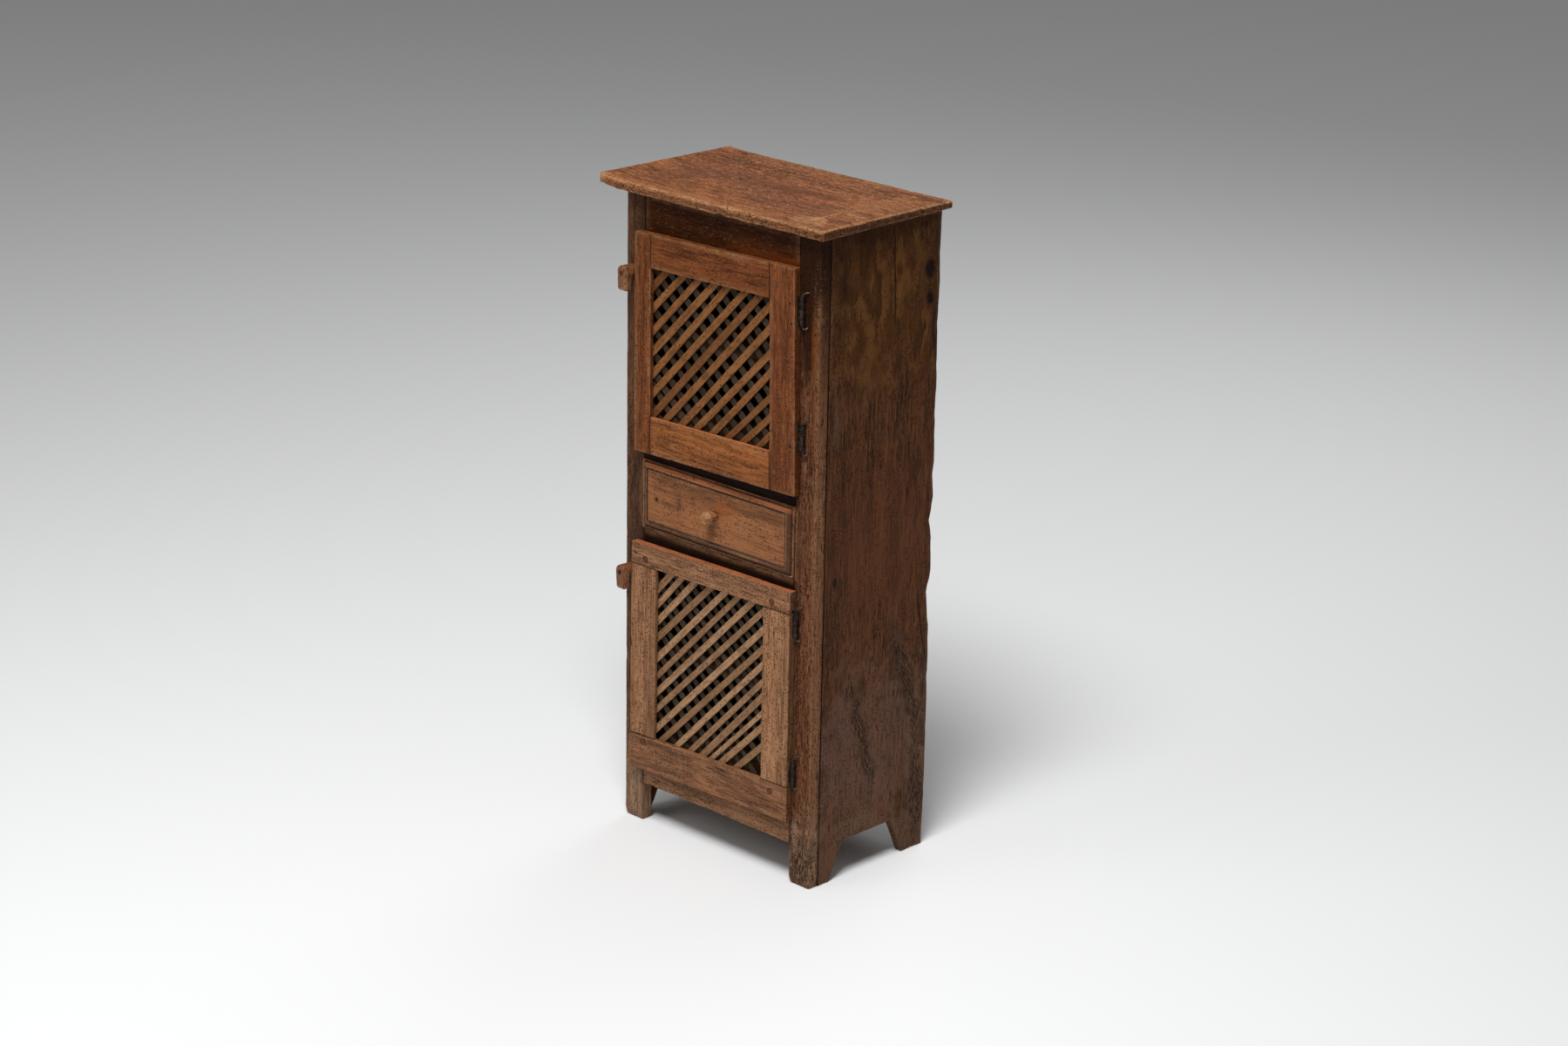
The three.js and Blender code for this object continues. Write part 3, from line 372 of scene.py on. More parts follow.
def worm_holes(r, share, depth):
    """Round holes on the face of the wood, in the given share of 5 mm cells."""
    ways = r.parts(r.vector("ABSOLUTE", r.looks))
    flat = r.combined(*(r.math("LESS_THAN", ways[axis], 0.8) for axis in "XYZ"))
    parts = r.parts(r.vector("MULTIPLY", r.seen, flat))
    level = r.times(r.less(parts["X"], parts["Y"]), r.math("GREATER_THAN", ways["Z"], 0.8))
    chart = r.combined(r.plus(parts["X"], parts["Y"]), r.plus(parts["Z"], level))
    sockets = {"Vector": chart, "Scale": 200.0, "Randomness": 0.85}
    cells = r.add("TexVoronoi", sockets, voronoi_dimensions="2D", feature="F1").outputs
    pick = r.add("SeparateColor", {"Color": cells["Color"]}).outputs[0]
    bored = r.times(r.math("LESS_THAN", pick, share), r.span(cells["Distance"], 0.25, 0.15))
    r.coat(bored, HOLE)
    r.sink(bored, depth)


def wood(
    name, colour, run, seed, rub, worm=0.3, gloss=0.5, figure=1.0, age=0.5, speckle=1.0,
    marks=(), cover=(), sheen=0.08,
):
    """Old waxed wood: soft figure, clouds, fine grain, open pores, worm holes, and arrises rubbed pale."""
    r = Recipe(name, colour)
    grain = r.turned(run, (seed * 1.7, seed * 0.6, seed))
    lift = {0: (0.0, 0.012, 0.012), "Scale": r.fibres(grain, 2.5, 9.0, 2.0)}
    wavy = r.vector("ADD", grain, r.add("VectorMath", lift, operation="SCALE").outputs[0])
    bands = r.fibres(wavy, 1.6, 24.0, 3.0, 0.55)
    clouds = r.fibres(grain, 8.0, 21.0, 5.0, 0.64)
    streaks = r.fibres(wavy, 9.0, 120.0, 4.0, 0.62)
    fine = r.fibres(wavy, 22.0, 300.0, 4.0, 0.70)
    pores = r.fibres(wavy, 70.0, 520.0, 3.0, 0.65)
    flecks = r.fibres(grain, 150.0, 430.0, 2.0, 0.55)
    scuffs = r.fibres(grain, 130.0, 360.0, 3.0, 0.6)
    gathered = r.span(r.fibres(grain, 5.0, 26.0, 3.0, 0.6), 0.36, 0.62, 0.38, 1.15)
    light = r.tint((1.7, 1.9, 2.1))
    r.base = r.shade(r.span(bands, 0.36, 0.64), r.tint(0.76), r.tint(1.30))
    r.coats(
        (clouds, 0.49, 0.30, 0.70 * age + 0.15, 0.38),
        (clouds, 0.54, 0.70, 0.55 * figure, light),
        (streaks, 0.47, 0.35, 0.46 * figure, 0.42),
        (streaks, 0.54, 0.66, 0.42 * figure, 1.75),
        (fine, 0.51, 0.62, r.times(gathered, 0.72 * speckle), 0.34),
        (fine, 0.47, 0.36, 0.52 * speckle, light),
        (pores, 0.55, 0.64, r.times(gathered, 0.76 * speckle), 0.18),
        (flecks, 0.63, 0.69, 0.85, 0.12),
        (scuffs, 0.60, 0.68, 0.62 * age, rub),
    )
    r.height = r.plus(r.times(fine, -0.55), r.times(pores, -0.35), r.times(streaks, 0.40))
    for draw in marks:
        draw(r)
    strokes = r.span(r.fibres(grain, 22.0, 95.0, 4.0, 0.68), 0.32, 0.58)
    r.coat(r.times(r.layer("wear"), strokes, 0.85), rub)
    r.coat(r.times(r.layer("wear"), r.span(flecks, 0.52, 0.62), 0.75), 0.16)
    r.coat(r.times(r.layer("grime"), 0.9), 0.07)
    for draw in cover:
        draw(r)
    colony = r.span(r.fibres(grain, 9.0, 22.0), 0.36, 0.60)
    worm_holes(r, r.times(colony, worm), 1.6)
    uneven = r.plus(r.times(fine, 0.5), r.times(clouds, 0.5))
    return r.finish(r.span(uneven, 0.25, 0.75, gloss - 0.08, gloss + 0.22), 0.0011, sheen=sheen)


def slat_wood(name, colour, run, seed):
    """Dry sawn slats: each has its own tone, with fine grain along its length and a few worm holes."""
    r = Recipe(name, colour)
    grain = r.turned(run, (seed, 0.3, seed * 0.5))
    fine = r.fibres(grain, 22.0, 560.0, 4.0, 0.66)
    bands = r.fibres(grain, 6.0, 130.0, 3.0, 0.6)
    r.base = r.shade(r.span(r.layer("tone"), 0.15, 0.85), r.tint(0.60), r.tint((1.45, 1.62, 1.75)))
    r.coats(
        (bands, 0.48, 0.66, 0.55, 0.42),
        (fine, 0.50, 0.64, 0.60, 0.30),
        (fine, 0.45, 0.33, 0.40, 1.60),
        (r.noise(grain, 38.0, 5.0, 0.65), 0.48, 0.66, 0.65, 0.32),
        (r.fibres(grain, 130.0, 520.0, 2.0, 0.6), 0.57, 0.64, 0.85, 0.12),
    )
    r.coat(r.times(r.layer("wear"), 0.35), 1.8)
    r.height = r.plus(r.times(fine, -0.7), r.times(bands, 0.4))
    worm_holes(r, 0.16, 1.4)
    return r.finish(r.span(fine, 0.3, 0.7, 0.52, 0.75), 0.0007)


def iron_finish(name, colour, seed, polish=0.42):
    """Hand-forged iron: dark scale, brown rust in the hollows and a hammered surface."""
    r = Recipe(name, colour)
    moved = r.turned("across", (seed, seed * 2.0, seed * 3.0))
    rust = r.noise(moved, 160.0, 5.0, 0.65)
    scale = r.noise(moved, 700.0, 4.0, 0.6)
    r.coats((rust, 0.45, 0.68, 1.0, RUST), (scale, 0.50, 0.70, 0.5, 0.45))
    r.height = r.plus(r.times(r.noise(moved, 95.0, 2.0), 0.9), r.times(scale, 0.25))
    metal = r.span(rust, 0.62, 0.42, 0.15, 0.85)
    return r.finish(r.span(rust, 0.35, 0.70, polish, 0.85), 0.0007, metal, sheen=0.30)


# Marks on the wood, and painted light and shade


def mark(draw):
    """Makes a rule that, called with its measures, waits for the recipe of the wood it is drawn on."""

    def measured(*measures, **more):
        return lambda r: draw(r, *measures, **more)

    return measured


@mark
def split(r, back, z0, z1, width, wander=0.0018, lean=0.0):
    """A crack up the grain: how far back in millimetres, its two ends and how wide it gapes in metres."""
    y = place(0, back, 0).y
    parts = r.parts(r.seen)
    drift = r.noise(r.combined(parts["Z"], y * 10), 22.0, 4.0, 0.6)
    from_middle = r.less(parts["Z"], (z0 + z1) / 2)
    line = r.less(parts["Y"], r.plus(r.swing(drift, wander * 8), y), r.times(from_middle, lean))
    near = r.math("ABSOLUTE", line)
    reach = r.math("DIVIDE", r.math("ABSOLUTE", from_middle), abs(z1 - z0) / 2)
    open_here = r.math("GREATER_THAN", r.times(r.span(reach, 1.0, 0.6), width / 2), near)
    r.coat(r.times(r.span(near, width * 2.2, 0.0), r.span(reach, 1.0, 0.8), 0.55), 0.25)
    r.coat(open_here, CRACK)
    r.sink(open_here, 1.5)


@mark
def knot(r, centre, across, along, depth=0.9, run="up"):
    """A knot: dark rings drawn out along the grain about a centre, in millimetres."""
    reach = (across, across, along) if run == "up" else (along, across, across)
    uneven = r.plus(r.away(centre, reach), r.swing(r.noise(r.seen, 90.0, 2.0), 0.5))
    heart = r.span(uneven, 1.0, 0.45)
    rings = r.span(r.math("SINE", r.times(uneven, 16.0)), -0.2, 0.9)
    r.coat(r.times(r.span(uneven, 2.4, 0.9), 0.45, r.plus(r.times(rings, 0.6), 0.4)), 0.35)
    r.coat(r.times(heart, depth), 0.13)
    r.sink(heart, 0.5)


@mark
def patch(r, centre, reach, tint, share, ragged=0.7, streaky=0.5, run="up"):
    """A soft ragged patch of another colour: its centre and reach each way (0: no end), in millimetres."""
    uneven = r.plus(r.away(centre, reach), r.swing(r.noise(r.seen, 26.0, 4.0, 0.6), ragged * 2.6))
    lines = r.span(r.woven(r.seen, STREAKS[run], 3.0, 0.6), 0.38, 0.62)
    r.coat(r.times(r.span(uneven, 1.05, 0.45), share, r.plus(1.0 - streaky, r.times(lines, streaky))), tint)


@mark
def pitted(r, centre, reach, weave, tint, share, most=0.60):
    """Small pits or flecks inside a soft patch: its centre and reach, and how fine they lie each way."""
    uneven = r.plus(r.away(centre, reach), r.swing(r.noise(r.seen, 30.0), 1.6))
    pits = r.times(r.span(r.woven(r.seen, weave, 3.0, 0.7), most - 0.07, most), r.span(uneven, 1.1, 0.6))
    r.coat(r.times(pits, share), tint)
    r.sink(pits, 0.5 * share)


@mark
def eaten(r, centre, reach, lean, share, tint, front=False):
    """Wood that worm has eaten: dark furrows on paler wood, its reach across and along, in millimetres."""
    gap = r.vector("SUBTRACT", r.seen, place(*centre))
    turned = []
    for aside, up in ((math.cos(lean), -math.sin(lean)), (math.sin(lean), math.cos(lean))):
        turned.append(r.vector("DOT_PRODUCT", gap, (aside, 0.0, up) if front else (0.0, aside, up), 1))
    ratio = r.combined(*(r.math("DIVIDE", value, way * MM) for value, way in zip(turned, reach)))
    ragged = r.swing(r.noise(r.seen, 38.0, 4.0, 0.65), 2.4)
    uneven = r.plus(r.vector("LENGTH", ratio, output=1), ragged)
    furrows = r.noise(r.combined(r.times(turned[0], 330.0), r.times(turned[1], 75.0)), 1.0, 5.0, 0.76)
    within = r.span(uneven, 1.25, 0.50)
    torn = r.times(within, r.span(furrows, 0.48, 0.54))
    r.coat(r.times(r.span(uneven, 1.9, 0.5), share * 0.55), tint)
    r.coat(r.times(within, r.span(furrows, 0.44, 0.36), 0.6 * share), tinted(tint, 1.6))
    r.coat(r.times(torn, share), 0.09)
    r.sink(torn, 1.6 * share)


def outside(r, low, high):
    """How far a point lies outside an upright rectangle, in metres; less than nothing inside it."""
    gaps = []
    for axis, least, most in (("X", low.x, high.x), ("Z", low.z, high.z)):
        from_middle = r.math("ABSOLUTE", r.less(r.parts(r.seen)[axis], (least + most) / 2))
        gaps.append(r.less(from_middle, (most - least) / 2))
    return r.math("MAXIMUM", *gaps)


@mark
def outline(r, low, high, offset, width, tint, share, broken=0.4):
    """A line round a rectangle, such as dirt and painted shade in a quirk or the rubbed rim of a moulding, in
    metres.
    """
    near = r.math("ABSOLUTE", r.less(outside(r, low, high), offset))
    gaps = r.plus(1.0 - broken, r.times(r.span(r.noise(r.seen, 330.0), 0.40, 0.56), broken))
    r.coat(r.times(r.span(near, width, width * 0.35), share, gaps), tint)


@mark
def border(r, low, high, offset, tint, share):
    """Another tone all round a rectangle, such as the moulding round a drawer's field."""
    cover = r.span(outside(r, low, high), offset - 0.0005, offset + 0.0005)
    rubbed = r.plus(0.72, r.times(r.span(r.noise(r.seen, 110.0, 4.0, 0.7), 0.60, 0.42), 0.28))
    r.coat(r.times(cover, share, rubbed), tint)


@mark
def painted_light_by_facing(r, axis, tint, share, least=0.65):
    """Painted light: another tone on every face that looks one way, such as painted shade on the faces turned
    to the right and a painted highlight on the faces turned up.
    """
    toward = r.span(r.vector("DOT_PRODUCT", r.looks, axis, 1), least, 0.5 + least / 2)
    r.coat(r.times(toward, r.span(r.noise(r.seen, 120.0, 4.0, 0.7), 0.36, 0.60, 0.55 * share, share)), tint)


@mark
def joint_line(r, back, width):
    """The dark open joint where a plank meets a post: how far back in millimetres, how wide in metres."""
    drift = r.swing(r.noise(r.seen, 60.0, 4.0, 0.7), width * 1.6)
    near = r.math("ABSOLUTE", r.plus(r.less(r.parts(r.seen)["Y"], place(0, back, 0).y), drift))
    crumbled = r.span(r.noise(r.seen, 420.0, 2.0), 0.36, 0.56, 0.55, 1.0)
    r.coat(r.times(r.span(near, width, width * 0.4), crumbled), OPEN_JOINT)


@mark
def swirls(r, low, high, tint, share, shift=0.0):
    """Flowing lines of figure between two heights in the row frame, in metres."""
    up = r.parts(r.seen)["Z"]
    within = r.times(r.span(up, low, low + 0.06), r.span(up, high, high - 0.05))
    flow = r.times(r.woven(r.seen, (1.0, 15.0, 6.5), 4.0), 30.0)
    lines = r.span(r.math("SINE", r.plus(flow, shift)), 0.0, 0.95)
    chosen = r.span(r.noise(r.seen, 11.0, 4.0), 0.40, 0.58)
    r.coat(r.times(lines, chosen, within, share), tint)


# Mesh tools


def smooth_step(value):
    share = np.clip(value, 0.0, 1.0)
    return share * share * (3 - 2 * share)


def distances_to(points, segments):
    """The least distance from each point to any of the segments."""
    best = np.full(len(points), 1.0)
    for start, end in segments:
        run = end - start
        share = np.clip(((points - start) @ run) / max(run @ run, 1e-12), 0.0, 1.0)
        best = np.minimum(best, np.linalg.norm(points - (start + share[:, None] * run), axis=1))
    return best


def noise_at(points, wavelength, seed):
    shift = Vector((seed * 7.31, seed * 3.17, seed * 5.71))
    return np.array([noise.noise(Vector(p) / wavelength + shift) for p in points])


def circle(count):
    angles = [2 * math.pi * step / count for step in range(count)]
    return [(math.cos(angle), math.sin(angle)) for angle in angles]


def ends(edge):
    return tuple(np.array(vert.co) for vert in edge.verts)


def cut_through(bm, spot, normal):
    bmesh.ops.bisect_plane(bm, geom=bm.verts[:] + bm.edges[:] + bm.faces[:], plane_co=spot, plane_no=normal)


def cut_cells(bm, spacing):
    """Cuts the mesh into cells of the given size along each of the three axes."""
    points = np.array([v.co for v in bm.verts])
    low, high = points.min(0), points.max(0)
    for axis, step in enumerate(spacing):
        count = int((high[axis] - low[axis]) / step)
        for index in range(1, count):
            spot, normal = Vector(), Vector()
            spot[axis] = low[axis] + (high[axis] - low[axis]) * index / count
            normal[axis] = 1.0
            cut_through(bm, spot, normal)


def cut_diagonally(bm, slope, step):
    """Cuts every slat of a layer across its length."""
    normal = Vector((slope, 0, 1)).normalized()
    reach = [v.co.dot(normal) for v in bm.verts]
    low, high = min(reach), max(reach)
    for index in range(1, int((high - low) / step)):
        cut_through(bm, normal * (low + index * step), normal)


def outer_arrises(bm, shortest):
    """The long convex edges that a hand or a cloth would reach."""
    long_edges = [e for e in bm.edges if e.is_manifold and e.is_convex and e.calc_length() > shortest]
    return [e for e in long_edges if e.calc_face_angle() > math.radians(25)]


def split_large_faces(bm):
    bmesh.ops.triangulate(bm, faces=[f for f in bm.faces if len(f.verts) > 4])


def wear_down(piece, segments, seed, sway, nibble, reach=0.006, seams=()):
    """Lets the faces wander inwards, nicks the arrises and writes how worn and how grimy each point is."""
    mesh = piece.data
    points, normals = (np.empty(len(mesh.vertices) * 3, np.float32) for _ in range(2))
    mesh.vertices.foreach_get("co", points)
    mesh.vertices.foreach_get("normal", normals)
    points, normals = points.reshape(-1, 3).astype(float), normals.reshape(-1, 3).astype(float)
    near = smooth_step(1 - distances_to(points, segments) / reach)
    slow = 0.5 + 0.5 * np.clip(noise_at(points, 0.070, seed) * 1.6, -1, 1)
    quick = np.clip(noise_at(points, 0.016, seed + 3) * 2.2 - 0.15, 0, 1)
    chips = np.clip(noise_at(points, 0.045, seed + 5) * 4.0 - 1.2, 0, 1)
    seam = distances_to(points, seams)
    grime = np.clip(1.3 - seam / 0.0013, 0, 1)
    clear = np.clip(seam / 0.004 - 0.2, 0, 1)
    inward = sway * slow + nibble * near * clear * (0.45 * quick + 0.9 * chips * quick + 0.04)
    points -= normals * inward[:, None]
    mesh.vertices.foreach_set("co", points.astype(np.float32).ravel())
    worn = near * clear * (0.72 + 0.28 * quick + 0.5 * chips)
    for name, values in (("wear", worn), ("grime", grime)):
        layer = mesh.attributes.new(name, "FLOAT", "POINT")
        layer.data.foreach_set("value", values.clip(0, 1).astype(np.float32))
    mesh.update()


def round_foot(piece, height, depth):
    """Wears the lowest part of a post round at its front and its two sides, in metres."""
    low = [vert.co for vert in piece.data.vertices if vert.co.z < height]
    middle = [(min(co[axis] for co in low) + max(co[axis] for co in low)) / 2 for axis in (0, 1)]
    for co in low:
        pull = depth * (1 - co.z / height) ** 2
        co.x += pull * (-1 if co.x > middle[0] else 1)
        if co.y < middle[1]:
            co.y += pull
    piece.data.update()


def shade_softly(piece, sharp=35.0):
    for polygon in piece.data.polygons:
        polygon.use_smooth = True
    piece.data.set_sharp_from_angle(angle=math.radians(sharp))
    piece.modifiers.new("even_faces", "WEIGHTED_NORMAL").keep_sharp = True


def keep(piece, body, slot, *nodes):
    """Makes the piece move with its body and hides the nodes that it stands for; the slot is not used."""
    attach(piece, body)
    if nodes:
        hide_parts(*nodes)


def new_piece(name, bm, material):
    mesh = bpy.data.meshes.new(name)
    bm.normal_update()
    bm.to_mesh(mesh)
    bm.free()
    piece = bpy.data.objects.new(name, mesh)
    bpy.context.scene.collection.objects.link(piece)
    mesh.materials.append(material)
    return piece


def worn_piece(
    node, name, body, slot, material, cells, seed, shortest=0.008, reach=0.006, seams=(), foot=None, **given
):
    """A worn copy of a board: rounded arrises, faces that wander a little, nicks along the edges."""
    wear = bpy.context.scene.pie_safe_wear
    measures = {"arris": wear.arris, "sway": wear.sway, "nibble": wear.nibble, **given}
    bm = bmesh.new()
    bm.from_mesh(frame["nodes"][node].data)
    bmesh.ops.remove_doubles(bm, verts=bm.verts, dist=1e-6)
    bmesh.ops.dissolve_limit(bm, angle_limit=math.radians(0.4), verts=bm.verts[:], edges=bm.edges[:])
    bm.normal_update()
    edges = outer_arrises(bm, shortest)
    segments = [ends(edge) for edge in edges]
    bmesh.ops.bevel(
        bm, geom=edges, offset=measures["arris"], segments=2, profile=0.5, affect="EDGES", clamp_overlap=True
    )
    cut_cells(bm, cells)
    split_large_faces(bm)
    piece = new_piece(name, bm, material)
    wear_down(piece, segments, seed, measures["sway"], measures["nibble"], reach, seams)
    shade_softly(piece)
    if foot:
        round_foot(piece, *foot)
    keep(piece, body, slot, node)


def skin(bm, rings):
    """Joins each ring of points to the next."""
    for ring, following in zip(rings, rings[1:]):
        for index in range(len(ring)):
            bm.faces.new((ring[index - 1], ring[index], following[index], following[index - 1]))


def finished(name, bm, material, sharp, capped=()):
    for ring in capped:
        bm.faces.new(ring)
    bmesh.ops.recalc_face_normals(bm, faces=bm.faces[:])
    piece = new_piece(name, bm, material)
    shade_softly(piece, sharp)
    return piece


def redress(node, material, width, **traits):
    """Gives a plain solid its material and eases its edges."""
    node.data.materials.clear()
    node.data.materials.append(material)
    bevel = node.modifiers.new("eased_edges", "BEVEL")
    bevel.width = width
    bevel.segments = 2
    for trait, value in traits.items():
        setattr(bevel, trait, value)


# Stage

LAMP_TARGET = Vector((0, 0, 0.55))
CAMERA_TARGET = (9.1749, 144.678, 551.3646)
FAR_FLOOR = (0.147, 0.148, 0.149, 1.0)
ROOM_LIGHT = 0.16


class PIESAFE_OT_stage(bpy.types.Operator):
    """Lays the pale floor, hangs the lamps and sets the camera at the photograph's angle"""

    bl_idname = "piesafe.stage"
    bl_label = "Stage"

    def execute(self, context):
        studio = context.scene.pie_safe_studio
        self.floor(studio)
        self.lamps(studio)
        self.world()
        self.camera(studio)
        context.scene.view_settings.view_transform = "Standard"
        return {"FINISHED"}

    def floor(self, studio):
        bm = bmesh.new()
        bmesh.ops.create_grid(bm, x_segments=4, y_segments=4, size=30.0)
        r = Recipe("pale_floor", tuple(studio.floor))
        r.height = r.noise(r.seen, 3.0)
        r.coat(r.times(r.height, 0.25), 0.97)
        new_piece("studio_floor", bm, r.finish(0.75, 0.0001))

    def lamps(self, studio):
        plan = (
            ("key_lamp", (1.05, -1.95, 4.6), 1.9, studio.key),
            ("fill_lamp", (-1.6, -3.6, 2.8), 2.6, studio.fill),
            ("back_lamp", (-0.8, 3.0, 3.2), 2.4, studio.fill * 1.1),
        )
        for name, spot, size, power in plan:
            lamp = bpy.data.lights.new(name, "AREA")
            lamp.shape = "DISK"
            lamp.size = size
            lamp.energy = power
            holder = bpy.data.objects.new(name, lamp)
            holder.location = spot
            holder.rotation_euler = (LAMP_TARGET - Vector(spot)).to_track_quat("-Z", "Y").to_euler()
            bpy.context.scene.collection.objects.link(holder)

    def world(self):
        world = bpy.data.worlds.new("soft_room")
        world.use_nodes = True
        tree = world.node_tree
        tree.nodes.clear()
        kinds = ("LightPath", "Background", "Background", "MixShader", "OutputWorld")
        paths, lit, shown, mix, output = (tree.nodes.new(f"ShaderNode{kind}") for kind in kinds)
        shown.inputs["Color"].default_value = FAR_FLOOR
        lit.inputs["Color"].default_value = (1.0, 1.0, 1.0, 1.0)
        lit.inputs["Strength"].default_value = ROOM_LIGHT
        tree.links.new(paths.outputs["Is Camera Ray"], mix.inputs[0])
        tree.links.new(lit.outputs[0], mix.inputs[1])
        tree.links.new(shown.outputs[0], mix.inputs[2])
        tree.links.new(mix.outputs[0], output.inputs["Surface"])
        bpy.context.scene.world = world

    def camera(self, studio):
        turn, rise, lean = studio.azimuth, studio.elevation, studio.roll
        back = Vector((math.sin(turn) * math.cos(rise), -math.cos(turn) * math.cos(rise), math.sin(rise)))
        right = back.cross(Vector((0, 0, 1))).normalized() * -1
        up = back.cross(right)
        leaned_right = right * math.cos(lean) + up * math.sin(lean)
        leaned_up = up * math.cos(lean) - right * math.sin(lean)
        lens = bpy.data.cameras.new("camera")
        lens.lens = studio.focal
        lens.sensor_width = 36.0
        lens.sensor_fit = "HORIZONTAL"
        lens.clip_end = 100.0
        holder = bpy.data.objects.new("camera", lens)
        turned = Matrix((leaned_right, leaned_up, back)).transposed().to_4x4()
        holder.matrix_world = Matrix.Translation(place(*CAMERA_TARGET) + back * studio.distance) @ turned
        bpy.context.scene.collection.objects.link(holder)
        bpy.context.scene.camera = holder


# Carcass

RAIL_HEIGHTS = ((70.4, 128.0), (490.0, 532.2), (654.6, 700.0), (1022.0, 1103.5))
POST_SEAMS = (-175.0, 173.2)
SIDE_SEAM_Y = 22.4
SEAM_WIDTH = 0.0019
TOP_FACE = 1120


def on_top(x, y, wide, deep, tint, share, **more):
    """A patch on the plank top, in millimetres."""
    return patch((x, y, TOP_FACE), (wide, deep, 0), tint, share, run="across", **more)


def on_side(y, z, deep, high, tint, share, **more):
    """A patch on a side plank, in millimetres."""
    return patch((0, y, z), (0, deep, high), tint, share, **more)


class PIESAFE_OT_top(bpy.types.Operator):
    """Makes the worn plank top"""

    bl_idname = "piesafe.top"
    bl_label = "Plank top"

    def execute(self, context):
        edge = tone("top_edge")
        orange, purple = (0.330, 0.130, 0.050), (0.120, 0.044, 0.026)
        pale, worn = (0.520, 0.270, 0.120), (0.470, 0.240, 0.110)
        marks = (
            on_top(-60, 130, 150, 60, purple, 0.60),
            on_top(90, 60, 110, 45, purple, 0.60),
            on_top(-190, 120, 60, 90, purple, 0.50),
            on_top(190, 150, 50, 140, orange, 0.55),
            on_top(-60, -10, 200, 18, orange, 0.65),
            on_top(-40, 262, 220, 26, orange, 0.60),
            on_top(180, 15, 45, 30, edge, 0.45),
            on_top(205, 90, 36, 3.2, edge, 0.80, ragged=0.3, streaky=0.2),
            on_top(176, 50, 4.5, 46, edge, 0.60, ragged=0.4),
            on_top(212, 112, 22, 14, 0.45, 0.60, ragged=0.4),
            on_top(-37, 80, 16, 6, 0.22, 0.85),
            on_top(-169, 58, 6, 18, 0.25, 0.85),
            on_top(45, 170, 30, 5, 0.30, 0.80),
            on_top(-57, 186, 40, 8, 0.40, 0.60),
            on_top(-151, 232, 5, 12, edge, 0.70),
            on_top(-267, 110, 8, 120, edge, 0.65),
            pitted((0, 120, TOP_FACE), (400, 300, 0), (70.0, 260.0, 260.0), 0.30, 0.75, most=0.61),
            pitted((-40, 150, TOP_FACE), (400, 300, 0), (90.0, 330.0, 330.0), pale, 0.60, most=0.64),
            on_top(20, 140, 140, 20, 0.50, 0.55, ragged=0.6),
            on_top(-130, 40, 90, 14, 0.50, 0.45, ragged=0.6),
        )
        faces = (
            # Painted shade on the plank's end face turned to the right.
            painted_light_by_facing((1.0, 0.0, 0.0), 0.26, 0.85, least=0.94),
            patch((0, -22, 1110), (0, 4, 5.8), 0.66, 0.66, ragged=0.25, streaky=0.6, run="across"),
            pitted((0, -22, 1110), (0, 5, 7.5), (170.0, 170.0, 330.0), 0.12, 0.78, most=0.59),
            pitted((0, -22, 1112), (0, 6, 7.5), (150.0, 300.0, 420.0), worn, 0.30, most=0.62),
            pitted((241, 120, 1110), (5, 300, 10), (170.0, 150.0, 330.0), 0.12, 0.75, most=0.59),
            patch((-262, -14, 1113), (26, 16, 20), (0.420, 0.215, 0.100), 0.75, ragged=0.4, run="across"),
        )
        material = wood(
            "waxed_plank", tone("top"), "across", 1.3, edge, gloss=0.46, figure=1.4, age=1.2, speckle=1.4,
            marks=marks, cover=faces,
        )
        worn_piece(
            "top_board", "plank_top", "carcass", "top_wood", material, (0.007, 0.012, 0.0032), 11,
            arris=0.0006, sway=0.0006, nibble=0.0018, reach=0.0040,
        )
        return {"FINISHED"}


def upright_seam(x, y, z0, z1):
    return np.array(place(x, y, z0)), np.array(place(x, y, z1))


def side_seams():
    return [upright_seam(side * HALF_BODY, SIDE_SEAM_Y, 0, 1104) for side in (-1, 1)]


